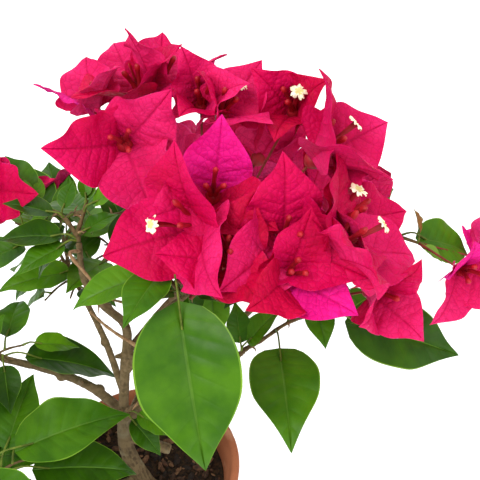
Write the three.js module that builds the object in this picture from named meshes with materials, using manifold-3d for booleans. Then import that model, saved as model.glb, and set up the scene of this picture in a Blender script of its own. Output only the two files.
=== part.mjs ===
// A bougainvillea in its terracotta pot: a leaning trunk, nine tapering boughs, and ten masses
// of leafy twigs and papery blooms. Millimetres, +Z up. The origin is the middle of the pot's
// flat underside. +X is the plant's right, -Y its front.
import * as THREE from "three";
import { mergeVertices } from "three/addons/utils/BufferGeometryUtils.js";
import Module from "manifold-3d";

const wasm = await Module();
wasm.setup();

// ------------------------------------------------------------------ driving sizes

const CLEAR = 0.3; // gap left between neighbouring solids that meet

const POT = {
  height: 100,
  rim: 56, // outer radius of the lip
  foot: 36, // outer radius of the underside
  wall: 5,
  floor: 7,
  collar: 20, // depth of the thicker band under the lip
  step: 3, // how far that band stands proud of the wall
  edge: 2, // the worn edges of the band and the foot
  corner: 3, // the filled corner inside, between floor and wall
  lip: 2.5, // rounding of the lip
  sides: 32,
};
const DRAIN = { count: 3, radius: 4.5, circle: 17, sides: 10 };
const SOIL = { level: 85, fall: 3, flat: 28 }; // level to a radius of `flat`, then falling to the wall

const LEAF = { width: 0.6, thick: 0.022, arch: 28, fold: 12, rise: 0.6, fall: 0.95 };
const PETIOLE = { share: 0.24, radius: 0.7, lift: 40 }; // a leaf's stalk, as a share of the blade
const BRACT = { width: 0.78, thick: 0.022, arch: 26, fold: 8, rise: 0.55, fall: 0.95 };
const BLOOM = {
  bract: 38,
  open: 42, // degrees from the way the bloom faces
  pedicel: 0.8,
  spacing: 0.035, // how far apart the pedicels leave their stem, as a share of it
  knot: 4, // radius of the knot the bracts grow from
  seat: 2.1, // how far out on it they start
};
const TUBE = { length: 19, radius: 1.3, lean: 14 };
const STAR = { radius: 4.6, notch: 0.5, thick: 0.9, lobes: 5 };
const TWIG = { from: 1.3, to: 0.8, rooted: 0.96, lead: 4 };
const SHOOT = { length: [26, 40], leaves: 3, leaf: [36, 50], turn: 62, droop: 6 };
const ROOT_FLARE = { spread: 0.7, height: 14, lobes: 5, depth: 0.22 };
const TRUNK = { sides: 10, rings: 12 };
const BOUGH = { sides: 7, rings: 9 };
const FINE = 0.05; // edges shorter than this are closed up
const KEEP_OFF = 2.5; // how far a leaf stays from the bark of a limb
const KEEP_APART = 4.5; // how far it stays from what another mass holds

// ------------------------------------------------------------------ the plan of the limbs

// Each limb is a path through a few places, with its radius at both ends.
const LIMBS = [
  {
    name: "trunk",
    path: [[5, -11, 72], [0, -9, 92], [-8, -4, 122], [-8, 3, 150]],
    from: 5.2,
    to: 3.4,
  },
  {
    name: "bough_upright",
    path: [[-8, 3, 150], [-5, 9, 178], [-3, 14, 205], [-14, 17, 218], [-22, 23, 230], [-24, 33, 245]],
    from: 2.8,
    to: 1.5,
  },
  {
    name: "bough_left",
    path: [[-8, 2, 147], [-25, 9, 160], [-43, 12, 169], [-69, 8, 186]],
    from: 2.8,
    to: 1.8,
  },
  {
    name: "bough_centre",
    path: [[-5, 8, 174], [4, 6, 192], [11, 6, 214], [29, 3, 237]],
    from: 2.2,
    to: 1.6,
  },
  {
    name: "bough_right",
    path: [[-8, 1, 144], [8, -1, 153], [38, 0, 174], [56, 4, 194]],
    from: 2.4,
    to: 1.5,
  },
  {
    name: "bough_front_left",
    path: [[-2, -8, 98], [-20, -22, 108], [-44, -38, 130], [-60, -44, 160]],
    from: 2.2,
    to: 1.5,
  },
  {
    name: "bough_back",
    path: [[-8, -1, 136], [4, 22, 152], [18, 48, 172], [26, 68, 190]],
    from: 2.5,
    to: 1.6,
  },
  {
    name: "bough_back_left",
    path: [[-7, 5, 162], [-18, 28, 176], [-34, 54, 190]],
    from: 2.1,
    to: 1.5,
  },
  {
    name: "bough_back_right",
    path: [[-8, 1, 142], [22, 20, 160], [56, 40, 180], [76, 52, 196]],
    from: 2.2,
    to: 1.5,
  },
  {
    name: "bough_far_right",
    path: [[-4, 11, 186], [24, 30, 212], [60, 38, 236], [100, 42, 247]],
    from: 2,
    to: 1.3,
  },
];

// ------------------------------------------------------------------ the plan of the masses

// A mass keeps inside the balls of its space. Its stem goes on from its bough's tip.
//   leaves: how far along the stem, compass bearing, rise, blade length, roll
//   blooms: bearing, rise and distance from the stem's tip, bearing and rise it faces, spin,
//           size, how far its bracts open, and how many of its three tubes end in an open star
//   side: shoots that leave the stem, each with leaves and blooms of its own
//   fill: shoots grown by the seeded rule
// Bearings are degrees anticlockwise from +X, so 270 is the front. Rises are above the level.
const SPRAYS = [
  {
    name: "bloom_head",
    bough: "bough_centre",
    space: [[55, 15, 275, 105], [-5, 50, 300, 80], [45, -40, 230, 70]],
    stem: [[38, 4, 246], [52, 12, 262]],
    leaves: [
      [0.05, 200, 25, 26],
      [0.1, 0, 0, 24],
      [0.5, 80, -10, 40],
    ],
    blooms: [
      [147, 34, 68, 278, 21, 50, 1.06],
      [128, 36, 83, 170, 70, 88, 0.95],
      [143, 30, 90, 140, 70, 104, 0.8, 30],
      [121, 37, 80, 60, 60, 72, 1, 30],
      [106, 48, 67, 280, 60, 112, 0.8, 20],
      [94, 53, 61, 340, 60, 0, 0.8, 30, 1],
      [56, 40, 71, 250, 50, 32, 0.8, 20, 1],
      [18, 47, 58, 0, 40, 320, 1.1, 30, 1],
      [354, 22, 51, 350, 40, 72, 1, 42, 1],
      [323, 37, 38, 280, 40, 88, 1, 50],
      [332, 21, 54, 0, 40, 288, 1.15, 42, 1],
      [344, -7, 67, 300, 20, 56, 0.85, 22],
      [309, 19, 43, 300, 40, 66, 0.85],
      [158, 77, 30, 280, 50, 78, 0.95],
      [219, 54, 28, 230, 30, 222, 1.15, 42, 1],
      [271, 33, 30, 260, 60, 72, 0.85],
      [75, 12, 58, 80, 20, 10],
      [40, 5, 54, 45, 10, 80],
      [112, 5, 56, 115, 5, 50],
    ],
    side: [
      {
        at: 0.05,
        path: [[20, 8, 250], [26, 1, 264]],
        leaves: [
          [0.45, 196, -17, 38],
          [1, 243, -10, 34],
        ],
      },
      { at: 0.2, path: [[28, -2, 257], [26, -5, 271]], leaves: [[1, 281, -52, 79, 8]] },
    ],
  },
  {
    name: "spray_right",
    bough: "bough_right",
    space: [[95, 8, 200, 85]],
    stem: [[67, 9, 199], [84, 15, 208], [110, 16, 212]],
    leaves: [
      [0.62, 274, -6, 57],
      [0.08, 23, 45, 26],
      [0.05, 101, 47, 22],
      [0.85, 350, -20, 65, 22],
      [0.7, 70, -10, 40],
    ],
  },
  {
    name: "spray_far_right",
    bough: "bough_far_right",
    space: [[150, 35, 245, 75]],
    stem: [[126, 38, 248], [147, 31, 245]],
    leaves: [
      [0.8, 12, -32, 42, 25],
      [0.95, 100, 68, 16, 60],
      [1, 330, -30, 12],
    ],
    blooms: [
      [318, -6, 24, 285, 10, 100, 0.8],
      [20, -30, 42, 20, 10, 70, 0.9],
    ],
  },
  {
    name: "spray_front_left",
    bough: "bough_front_left",
    space: [[-60, -44, 170, 85]],
    stem: [[-72, -46, 174], [-84, -44, 180]],
    leaves: [
      [0.52, 24, -1, 60],
      [0.3, 79, 14, 42],
      [0.02, 8, -14, 54],
      [1, 200, -5, 50],
      [0.8, 260, 5, 48],
    ],
    side: [
      {
        at: 0.1,
        path: [[-72, -38, 157], [-83, -26, 143]],
        leaves: [
          [1, 3, 3, 36],
          [1, 215, -10, 44],
          [0.7, 265, -15, 44],
        ],
      },
    ],
    fill: { seed: 41, shoots: 2, bearing: 230, spread: 50, rise: 0 },
  },
  {
    name: "spray_left_low",
    bough: "bough_left",
    space: [[-85, 10, 190, 85]],
    stem: [[-84, 2, 196], [-100, 0, 206]],
    leaves: [
      [0.05, 13, -30, 54, -10],
      [0.5, 60, 25, 20],
      [0.5, 250, -10, 48],
      [1, 185, 0, 50],
      [0.8, 120, 10, 46],
    ],
    blooms: [[200, 55, 26, 200, 50, 0]],
    fill: { seed: 31, shoots: 2, bearing: 200, spread: 40, rise: 0 },
  },
  {
    name: "spray_left_high",
    bough: "bough_upright",
    space: [[-45, 46, 252, 80]],
    stem: [[-23, 42, 252], [-20, 48, 260]],
    leaves: [
      [0.05, 210, -16, 29],
      [0.1, 178, -6, 34],
      [0.2, 38, 3, 20],
      [0.8, 15, 22, 25],
      [0.9, 83, 25, 15],
      [1, 100, 40, 12],
    ],
    side: [
      {
        at: 0.25,
        path: [[-34, 44, 254], [-50, 50, 252], [-64, 53, 250]],
        leaves: [
          [0.25, 181, 16, 25],
          [0.3, 74, 27, 16],
          [0.55, 116, 23, 19],
          [0.6, 126, 23, 29],
        ],
        blooms: [[146, 36, 14, 270, 30, 0, 0.9]],
      },
    ],
    fill: { seed: 53, shoots: 2, bearing: 100, spread: 40, rise: -25 },
  },
  {
    name: "spray_low_front",
    bough: "trunk",
    space: [[14, -12, 165, 45]],
    leave: [-8, 2, 146],
    stem: [[-6, -5, 157], [2, -10, 170], [12, -10, 186]],
    leaves: [
      [0.3, 321, -35, 25],
      [0.45, 340, -25, 24],
      [0.9, 20, 10, 26],
    ],
  },
  {
    name: "spray_back",
    bough: "bough_back",
    space: [[36, 95, 210, 80]],
    stem: [[32, 84, 202], [40, 100, 212]],
    leaves: [
      [1, 85, 5, 50],
      [0.6, 20, 10, 46],
      [0.3, 200, -5, 48],
    ],
    blooms: [
      [80, 50, 30, 85, 40, 0],
      [30, 25, 30, 60, 25, 60],
    ],
    fill: { seed: 61, shoots: 4, bearing: 85, spread: 55, rise: 0 },
  },
  {
    name: "spray_back_left",
    bough: "bough_back_left",
    space: [[-55, 88, 210, 75]],
    stem: [[-44, 68, 198], [-54, 84, 208]],
    leaves: [
      [1, 120, 10, 48],
      [0.5, 190, -5, 46],
      [0.3, 60, -10, 46],
    ],
    blooms: [[105, 0, 30, 110, 40, 40, 0.8]],
    fill: { seed: 71, shoots: 3, bearing: 100, spread: 50, rise: 5 },
  },
  {
    name: "spray_back_right",
    bough: "bough_back_right",
    space: [[105, 75, 215, 75]],
    stem: [[88, 60, 204], [102, 70, 214]],
    leaves: [
      [1, 40, 5, 50],
      [0.5, 330, -15, 44],
      [0.4, 100, 0, 46],
    ],
    blooms: [[50, 45, 28, 45, 35, 20]],
    fill: { seed: 83, shoots: 3, bearing: 40, spread: 60, rise: -5 },
  },
];

// ------------------------------------------------------------------ small helpers

const point = ([x, y, z]) => new THREE.Vector3(x, y, z);
const radians = THREE.MathUtils.degToRad;
const UP = point([0, 0, 1]);

/** The unit vector of a compass bearing and a rise, both in degrees. */
function heading(bearing, rise) {
  const [turn, lift] = [radians(bearing), radians(rise)];
  return point([Math.cos(lift) * Math.cos(turn), Math.cos(lift) * Math.sin(turn), Math.sin(lift)]);
}

/** The unit vector nearest to `wanted` that stands square on `along`. */
function squareTo(along, wanted) {
  return wanted.clone().addScaledVector(along, -along.dot(wanted)).normalize();
}

/** A seeded source of numbers: one seed always grows one shoot. */
class Seed {
  constructor(start) {
    this.state = start * 7919;
  }

  between(low, high) {
    this.state = (this.state * 48271) % 2147483647;
    return low + ((high - low) * this.state) / 2147483647;
  }
}

/** A manifold solid from a closed three.js geometry. */
function solidOf(geometry) {
  const bare = geometry.clone();
  bare.deleteAttribute("normal");
  bare.deleteAttribute("uv");
  const merged = mergeVertices(bare, 1e-4);
  return new wasm.Manifold(
    new wasm.Mesh({
      numProp: 3,
      vertProperties: merged.attributes.position.array,
      triVerts: new Uint32Array(merged.index.array),
    }),
  );
}

/** The largest of the bodies that a join or a cut leaves: what lies loose is dropped. */
function largestBody(solid) {
  const bodies = solid.simplify(FINE).decompose();
  return bodies.reduce((best, body) => (body.volume() > best.volume() ? body : best));
}

/** Move each vertex of a geometry by a rule. */
function reshape(geometry, rule) {
  const places = geometry.attributes.position;
  const place = new THREE.Vector3();
  for (let i = 0; i < places.count; i++) {
    place.fromBufferAttribute(places, i);
    rule(place);
    places.setXYZ(i, place.x, place.y, place.z);
  }
  return geometry;
}

// ------------------------------------------------------------------ limbs and stalks

/** A smooth path with a radius that tapers along it. */
class Limb {
  constructor(places, from, to, swell = () => 1) {
    this.curve = new THREE.CatmullRomCurve3(places);
    this.from = from;
    this.to = to;
    this.swell = swell; // what the radius is multiplied by, at a height and a turn round the limb
    const run = places[places.length - 1].clone().sub(places[0]);
    this.side = Math.abs(run.y) > Math.abs(run.x) ? point([1, 0, 0]) : point([0, 1, 0]);
  }

  radius(along) {
    return this.from + (this.to - this.from) * along;
  }

  /** A place on the middle line to root a stalk at, never so near the tip that it misses the wood. */
  rooted(along) {
    return this.curve.getPoint(Math.min(along, TWIG.rooted));
  }

  /** A closed tube with `sides` faces round it and `rings` steps along it. */
  geometry(sides, rings) {
    const tube = new THREE.CylinderGeometry(1, 1, 1, sides, rings);
    return reshape(tube, (place) => {
      const along = place.y + 0.5;
      const tangent = this.curve.getTangent(along);
      const across = squareTo(tangent, this.side);
      const other = across.clone().cross(tangent);
      const centre = this.curve.getPoint(along);
      const radius = this.radius(along) * this.swell(centre.z, Math.atan2(place.z, place.x));
      const [x, z] = [place.x * radius, place.z * radius];
      place.copy(centre).addScaledVector(across, x).addScaledVector(other, z);
    });
  }

  /** Places along the middle line, from end to end. */
  samples(steps) {
    return this.curve.getPoints(steps);
  }

  /** Whether a place lies within `margin` of the bark. */
  isNear(place, margin) {
    const steps = 24;
    return this.samples(steps).some(
      (centre, i) => centre.distanceTo(place) < this.radius(i / steps) + margin,
    );
  }
}

/** A stalk from one place to another, setting off along `start`. */
function stalk(from, to, start, radius) {
  const knee = from.clone().addScaledVector(start, from.distanceTo(to) * 0.45);
  return new Limb([from, knee, to], radius, radius);
}

// ------------------------------------------------------------------ leaves, bracts and flowers

/** The blade of a leaf or bract: a pointed oval, folded along its midrib and arching over. */
class Blade {
  constructor(base, along, up, length, form) {
    this.base = base;
    this.along = along;
    this.up = squareTo(along, up);
    this.side = this.up.clone().cross(along);
    this.length = length;
    this.form = form;
  }

  /** Half the blade's width, at a share of its length. */
  halfWidth(share) {
    const { rise, fall, width } = this.form;
    const widest = rise / (rise + fall);
    const peak = widest ** rise * (1 - widest) ** fall;
    return (this.length * width * 0.5 * share ** rise * (1 - share) ** fall) / peak;
  }

  /** A place on the blade: `share` from base to tip, `across` from -1 to 1, `out` off its face. */
  place(share, across, out = 0) {
    const arch = radians(this.form.arch);
    const turn = arch * share;
    const forward = (this.length * Math.sin(turn)) / arch;
    const down = (this.length * (1 - Math.cos(turn))) / arch;
    const normal = this.up.clone().multiplyScalar(Math.cos(turn));
    normal.addScaledVector(this.along, Math.sin(turn));
    const half = this.halfWidth(share) * across;
    const fold = radians(this.form.fold);
    return this.base
      .clone()
      .addScaledVector(this.along, forward)
      .addScaledVector(this.up, -down)
      .addScaledVector(this.side, half * Math.cos(fold))
      .addScaledVector(normal, Math.abs(half) * Math.sin(fold) + out);
  }

  /** Places spread all over the blade. */
  samples() {
    const places = [];
    for (let row = 1; row <= 10; row++) {
      for (let column = -3; column <= 3; column++) places.push(this.place(row / 10, column / 3));
    }
    return places;
  }

  /** A closed lens in the blade's outline, thickest in the middle and sharp at its edges. */
  geometry() {
    const lens = new THREE.SphereGeometry(1, 4, 3);
    const thick = (this.form.thick * this.length) / 2;
    return reshape(lens, (place) => {
      const share = 0.5 - 0.5 * place.y + 0.04 * (1 - place.y ** 2);
      const ring = Math.sqrt(Math.max(1e-12, 1 - place.y ** 2));
      place.copy(this.place(share, place.x / ring, (thick * place.z) / ring));
    });
  }
}

/** A flower's cream star: a disc notched between its lobes, facing along `face`. */
function star(centre, face) {
  const sides = 2 * STAR.lobes;
  const disc = new THREE.CylinderGeometry(STAR.radius, STAR.radius, STAR.thick, sides, 1);
  const across = squareTo(face, Math.abs(face.z) > 0.8 ? point([1, 0, 0]) : UP);
  const other = across.clone().cross(face);
  return reshape(disc, (place) => {
    const corner = Math.round((Math.atan2(place.x, place.z) / Math.PI) * STAR.lobes);
    const reach = corner % 2 === 0 ? 1 : STAR.notch;
    const [x, y, z] = [place.x * reach, place.y, place.z * reach];
    place.copy(centre).addScaledVector(across, x).addScaledVector(face, y).addScaledVector(other, z);
  });
}

// ------------------------------------------------------------------ masses

/** One mass: all that grows on from one bough's tip, fused into one solid. */
class Spray {
  constructor(plan, limbs, rivals) {
    this.plan = plan;
    this.limbs = limbs;
    this.rivals = rivals;
    this.balls = plan.space.map(([x, y, z, size]) => ({ heart: point([x, y, z]), size }));
    this.held = []; // the places that this mass's leaves, bracts and stalks take up
    this.parts = [];
  }

  isInSpace(place) {
    return this.balls.some(({ heart, size }) => place.distanceTo(heart) < size);
  }

  isByPot(place) {
    const isOver = Math.hypot(place.x, place.y) < POT.rim + KEEP_OFF;
    return isOver && place.z < POT.height + KEEP_OFF;
  }

  isByLimb(place) {
    return this.limbs.some((limb) => limb.isNear(place, KEEP_OFF));
  }

  isByRival(place) {
    const isClose = (other) => other.distanceToSquared(place) < KEEP_APART ** 2;
    return this.rivals.some((rival) => rival.held.some(isClose));
  }

  /** Whether places all lie in this mass's space, off the limbs, the pot and earlier masses. */
  isFree(places) {
    return !places.some(
      (place) =>
        !this.isInSpace(place) || this.isByPot(place) || this.isByLimb(place) || this.isByRival(place),
    );
  }

  /** Add a blade, and hold its places. */
  grow(blade) {
    this.held.push(...blade.samples());
    this.parts.push(solidOf(blade.geometry()));
  }

  /** Add a twig or stalk, and hold its places. */
  bind(limb, sides, rings) {
    this.held.push(...limb.samples(8));
    this.parts.push(solidOf(limb.geometry(sides, rings)));
  }

  /** A leaf on its stalk, part way along a twig. */
  leaf(twig, [at, bearing, rise, length, roll = 0]) {
    const node = twig.rooted(at);
    const along = heading(bearing, rise + LEAF.arch / 2);
    const base = node.clone().addScaledVector(along, PETIOLE.share * length);
    const up = squareTo(along, UP).applyAxisAngle(along, radians(roll));
    const blade = new Blade(base, along, up, length, LEAF);
    if (!this.isFree(blade.samples())) return;
    this.grow(blade);
    const start = heading(bearing, rise + PETIOLE.lift);
    this.bind(stalk(node, blade.place(0.16, 0), start, PETIOLE.radius), 3, 1);
  }

  /** A bloom: three bracts on a knot, and the stars that stand open between them. */
  bloom(twig, row, index) {
    const [bearing, rise, distance, faceBearing, faceRise, spin] = row;
    const [size = 1, open = BLOOM.open, stars = 0] = row.slice(6);
    const centre = twig.rooted(1).addScaledVector(heading(bearing, rise), distance);
    const face = heading(faceBearing, faceRise);
    const level = squareTo(face, heading(faceBearing + 90, 0));
    const outs = [0, 120, 240].map((turn) => level.clone().applyAxisAngle(face, radians(spin + turn)));
    const blades = outs.map((out) => {
      const base = centre.clone().addScaledVector(out, BLOOM.seat);
      const along = face.clone().multiplyScalar(Math.cos(radians(open)));
      along.addScaledVector(out, Math.sin(radians(open)));
      return new Blade(base, along, face, BLOOM.bract * size, BRACT);
    });
    if (!blades.every((blade) => this.isFree(blade.samples()))) return;
    const knot = new THREE.SphereGeometry(BLOOM.knot, 4, 2).translate(centre.x, centre.y, centre.z);
    this.parts.push(solidOf(knot));
    const root = twig.rooted(1 - BLOOM.spacing * index);
    this.bind(stalk(root, centre, heading(bearing, rise), BLOOM.pedicel), 3, 2);
    blades.forEach((blade) => this.grow(blade));
    outs.slice(0, stars).forEach((out) => this.flower(centre, face, out, size));
  }

  /** A tube that leans from the face of its bloom, with a star at its end. */
  flower(centre, face, out, size) {
    const along = face.clone().multiplyScalar(Math.cos(radians(TUBE.lean)));
    along.addScaledVector(out, Math.sin(radians(TUBE.lean)));
    const start = centre.clone().addScaledVector(along, 1);
    const tip = centre.clone().addScaledVector(along, TUBE.length * size);
    this.parts.push(solidOf(new Limb([start, tip], TUBE.radius, TUBE.radius).geometry(3, 1)));
    this.parts.push(solidOf(star(tip, along)));
  }

  /** A twig with the leaves and blooms it bears. */
  twig(places, radius, { leaves = [], blooms = [] }) {
    const twig = new Limb(places, radius, TWIG.to);
    this.bind(twig, radius > TWIG.from ? 5 : 3, 3 * (places.length - 1));
    leaves.forEach((row) => this.leaf(twig, row));
    blooms.forEach((row, index) => this.bloom(twig, row, index));
    return twig;
  }

  /** One shoot of the seeded rule: leaves turn left and right along it, with one at its tip. */
  shoot(stem, fill, index) {
    const seed = new Seed(fill.seed + index);
    const root = stem.curve.getPoint((index + 0.6) / fill.shoots);
    const share = (2 * index) / (fill.shoots - 1) - 1;
    const bearing = fill.bearing + fill.spread * share + seed.between(-10, 10);
    const rise = fill.rise + seed.between(-18, 18);
    const length = seed.between(...SHOOT.length);
    const middle = root.clone().addScaledVector(heading(bearing, rise + SHOOT.droop), length / 2);
    const tip = root.clone().addScaledVector(heading(bearing, rise), length);
    const leaves = [];
    for (let i = 1; i <= SHOOT.leaves; i++) {
      const turn = i === SHOOT.leaves ? 0 : SHOOT.turn * (i % 2 ? 1 : -1);
      const lift = rise + seed.between(-25, 10);
      leaves.push([i / SHOOT.leaves, bearing + turn, lift, seed.between(...SHOOT.leaf)]);
    }
    if (this.isFree([middle, tip])) this.twig([root, middle, tip], TWIG.from, { leaves });
  }

  /** The main stem, which goes on from the bough's tip, or starts on the trunk where it leaves it. */
  stem(bough) {
    const places = this.plan.stem.map(point);
    if (this.plan.leave) return this.twig([point(this.plan.leave), ...places], TWIG.from, this.plan);
    const away = bough.curve.getTangent(1);
    const start = bough.curve.getPoint(1).addScaledVector(away, CLEAR);
    const lead = start.clone().addScaledVector(away, TWIG.lead);
    return this.twig([start, lead, ...places], bough.to, this.plan);
  }

  /** The fused solid. */
  solid(bough) {
    const stem = this.stem(bough);
    for (const { at, path, leaves, blooms } of this.plan.side ?? []) {
      this.twig([stem.curve.getPoint(at), ...path.map(point)], TWIG.from, { leaves, blooms });
    }
    const { fill } = this.plan;
    for (let i = 0; i < (fill?.shoots ?? 0); i++) this.shoot(stem, fill, i);
    return wasm.Manifold.union(this.parts);
  }
}

// ------------------------------------------------------------------ pot and soil

/** The pot's inside radius at a height: a straight wall that opens faster within the collar. */
function insideRadius(z) {
  const { height, rim, foot, wall, floor, collar, step, edge, corner, lip } = POT;
  const band = height - collar;
  const neck = rim - step - edge - wall;
  if (z > band) return THREE.MathUtils.mapLinear(z, band, height - lip, neck, rim - 2 * lip);
  return THREE.MathUtils.mapLinear(z, floor + corner, band, foot - wall, neck);
}

/** The pot's profile: from the axis out, up the wall, over the lip, down the inside and back. */
function potProfile() {
  const { height, rim, foot, floor, collar, step, edge, corner, lip } = POT;
  const band = height - collar;
  const outline = new THREE.Shape();
  outline.moveTo(0, 0);
  outline.lineTo(foot - edge, 0);
  outline.lineTo(foot, edge);
  outline.lineTo(rim - step - edge, band - edge);
  outline.lineTo(rim - edge, band);
  outline.lineTo(rim, height - lip);
  outline.absarc(rim - lip, height - lip, lip, 0, Math.PI, false);
  outline.lineTo(insideRadius(band), band);
  outline.lineTo(insideRadius(floor + corner), floor + corner);
  outline.lineTo(insideRadius(floor + corner) - corner, floor);
  outline.lineTo(0, floor);
  return outline.getPoints(2);
}

/** A solid turned about the vertical axis from its profile. */
function turned(profile) {
  return solidOf(new THREE.LatheGeometry(profile, POT.sides).rotateX(Math.PI / 2));
}

function potSolid() {
  let pot = turned(potProfile());
  for (let i = 0; i < DRAIN.count; i++) {
    const away = heading((360 * i) / DRAIN.count, 0).multiplyScalar(DRAIN.circle);
    const hole = new THREE.CylinderGeometry(DRAIN.radius, DRAIN.radius, 3 * POT.floor, DRAIN.sides);
    pot = pot.subtract(solidOf(hole.rotateX(Math.PI / 2).translate(away.x, away.y, 0)));
  }
  return pot;
}

/** The soil fills the pot to its level, flat round the trunk and falling a little to the wall. */
function soilSolid() {
  const corner = POT.floor + POT.corner;
  const band = POT.height - POT.collar;
  const edge = SOIL.level - SOIL.fall;
  return turned([
    new THREE.Vector2(0, POT.floor + CLEAR),
    new THREE.Vector2(insideRadius(corner) - POT.corner - CLEAR, POT.floor + CLEAR),
    new THREE.Vector2(insideRadius(corner + CLEAR) - CLEAR, corner + CLEAR),
    new THREE.Vector2(insideRadius(band) - CLEAR, band),
    new THREE.Vector2(insideRadius(edge) - CLEAR, edge),
    new THREE.Vector2(SOIL.flat, SOIL.level),
    new THREE.Vector2(0, SOIL.level),
  ]);
}

// ------------------------------------------------------------------ assembly

const MATERIALS = {
  terracotta: new THREE.MeshStandardMaterial({ color: 0xa66a48, roughness: 0.85, metalness: 0 }),
  soil: new THREE.MeshStandardMaterial({ color: 0x2b1b0b, roughness: 1, metalness: 0 }),
  bark: new THREE.MeshStandardMaterial({ color: 0x6b5a3c, roughness: 0.9, metalness: 0 }),
  foliage: new THREE.MeshStandardMaterial({ color: 0x4a7a24, roughness: 0.5, metalness: 0 }),
  blossom: new THREE.MeshStandardMaterial({ color: 0xd0054a, roughness: 0.6, metalness: 0 }),
};

/** A named mesh from a solid. */
function piece(name, solid, material) {
  const { vertProperties, triVerts } = solid.getMesh();
  const geometry = new THREE.BufferGeometry();
  geometry.setAttribute("position", new THREE.BufferAttribute(new Float32Array(vertProperties), 3));
  geometry.setIndex(new THREE.BufferAttribute(new Uint32Array(triVerts), 1));
  geometry.computeVertexNormals();
  const mesh = new THREE.Mesh(geometry, material);
  mesh.name = name;
  return mesh;
}

/** The trunk is spread by lobed roots where it enters the soil. */
function flare(z, turn) {
  const { spread, height, lobes, depth } = ROOT_FLARE;
  const near = Math.exp(-Math.max(0, z - SOIL.level) / height);
  return 1 + spread * near * (1 + depth * Math.cos(lobes * turn));
}

/** One limb of the plan, with `extra` added to its radius all along. */
function limbOf({ name, path, from, to }, extra = 0) {
  const swell = name === "trunk" ? flare : undefined;
  return new Limb(path.map(point), from + extra, to + extra, swell);
}

const plant = new THREE.Group();
plant.add(piece("pot", potSolid(), MATERIALS.terracotta));
plant.add(piece("soil", soilSolid(), MATERIALS.soil));

// What stands already, a gap wider all round: each later limb and mass is cut clear of it.
const ground = new THREE.BoxGeometry(POT.height, POT.height, POT.height);
let standing = solidOf(ground.translate(0, 0, SOIL.level + CLEAR - POT.height / 2));
const limbs = new Map();
for (const plan of LIMBS) {
  const { sides, rings } = plan.name === "trunk" ? TRUNK : BOUGH;
  const limb = limbOf(plan);
  const solid = solidOf(limb.geometry(sides, rings)).subtract(standing);
  plant.add(piece(plan.name, largestBody(solid), MATERIALS.bark));
  standing = standing.add(solidOf(limbOf(plan, CLEAR).geometry(sides, rings)));
  limbs.set(plan.name, limb);
}

const sprays = [];
for (const plan of SPRAYS) {
  const spray = new Spray(plan, [...limbs.values()], [...sprays]);
  const solid = spray.solid(limbs.get(plan.bough)).subtract(standing);
  const material = plan.name === "bloom_head" ? MATERIALS.blossom : MATERIALS.foliage;
  plant.add(piece(plan.name, largestBody(solid), material));
  sprays.push(spray);
}

export default plant;
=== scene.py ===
"""A bougainvillea in its terracotta pot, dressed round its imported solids.

The plan and the growth rule are in millimetres, and the meshes are in metres.
+X is the plant's right and -Y its front.
"""
import logging
import math
from dataclasses import dataclass
from enum import Enum
from typing import Iterable, Sequence

import bpy
import numpy as np
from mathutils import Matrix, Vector, noise


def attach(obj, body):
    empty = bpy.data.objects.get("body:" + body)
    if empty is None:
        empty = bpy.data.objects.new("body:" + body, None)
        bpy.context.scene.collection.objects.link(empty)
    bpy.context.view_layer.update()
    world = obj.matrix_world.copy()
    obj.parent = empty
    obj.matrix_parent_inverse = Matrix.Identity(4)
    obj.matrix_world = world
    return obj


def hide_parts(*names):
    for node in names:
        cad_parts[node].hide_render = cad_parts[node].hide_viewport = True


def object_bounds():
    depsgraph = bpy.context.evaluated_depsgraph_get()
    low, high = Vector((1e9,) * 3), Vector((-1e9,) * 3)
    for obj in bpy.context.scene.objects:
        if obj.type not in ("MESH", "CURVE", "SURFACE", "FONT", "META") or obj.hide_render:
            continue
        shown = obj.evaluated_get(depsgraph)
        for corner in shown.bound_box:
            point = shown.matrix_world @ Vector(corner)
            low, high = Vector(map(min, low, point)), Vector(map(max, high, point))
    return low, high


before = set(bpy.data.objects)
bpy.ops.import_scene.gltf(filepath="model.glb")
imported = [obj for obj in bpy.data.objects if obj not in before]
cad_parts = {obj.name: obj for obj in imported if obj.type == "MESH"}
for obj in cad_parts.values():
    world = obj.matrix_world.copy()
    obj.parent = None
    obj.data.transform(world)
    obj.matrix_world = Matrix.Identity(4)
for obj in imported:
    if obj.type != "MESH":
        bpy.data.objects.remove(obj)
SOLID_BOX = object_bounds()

log = logging.getLogger("bougainvillea")
Row = Sequence[float]
Colour = tuple[int, int, int]
Array = np.ndarray
Draws = np.random.Generator
Socket = bpy.types.NodeSocket
Value = Socket | tuple | float
Material = bpy.types.Material
Mesh = bpy.types.Mesh
Thing = bpy.types.Object
MM = 0.001
UP = np.array([0.0, 0.0, 1.0])
GOLDEN = 137.5  # degrees from one leaf to the next round a twig


# ------------------------------------------------------------------ the plan


class Tone(Enum):
    """What a leaf's upper side looks like at its age."""

    DEEP = "d"
    MID = "m"
    BRIGHT = "b"
    YOUNG = "y"
    BRONZE = "z"


class Hue(Enum):
    """What a bloom's bracts look like."""

    CRIMSON = "c"
    RUBY = "r"
    ROSE = "p"
    MAGENTA = "m"


@dataclass(frozen=True)
class BladeForm:
    """The shape of a kind of blade, as the solids have it.

    Width is a share of the length, arch and fold are degrees, and rise and fall
    are the powers that its outline widens and narrows by.
    """

    width: float
    arch: float
    fold: float
    rise: float
    fall: float


@dataclass(frozen=True)
class LimbPlan:
    """One limb: the places that it runs through, and its radius at both ends."""

    name: str
    path: Sequence[Row]
    start: float
    end: float


@dataclass(frozen=True)
class Fill:
    """Shoots grown by the seeded rule round one bearing and rise."""

    seed: int
    shoots: int
    bearing: float
    spread: float
    rise: float


@dataclass(frozen=True)
class Side:
    """A shoot that leaves the stem part way along, with its own leaves and blooms."""

    at: float
    path: Sequence[Row]
    leaves: Sequence[Row] = ()
    blooms: Sequence[Row] = ()


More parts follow.
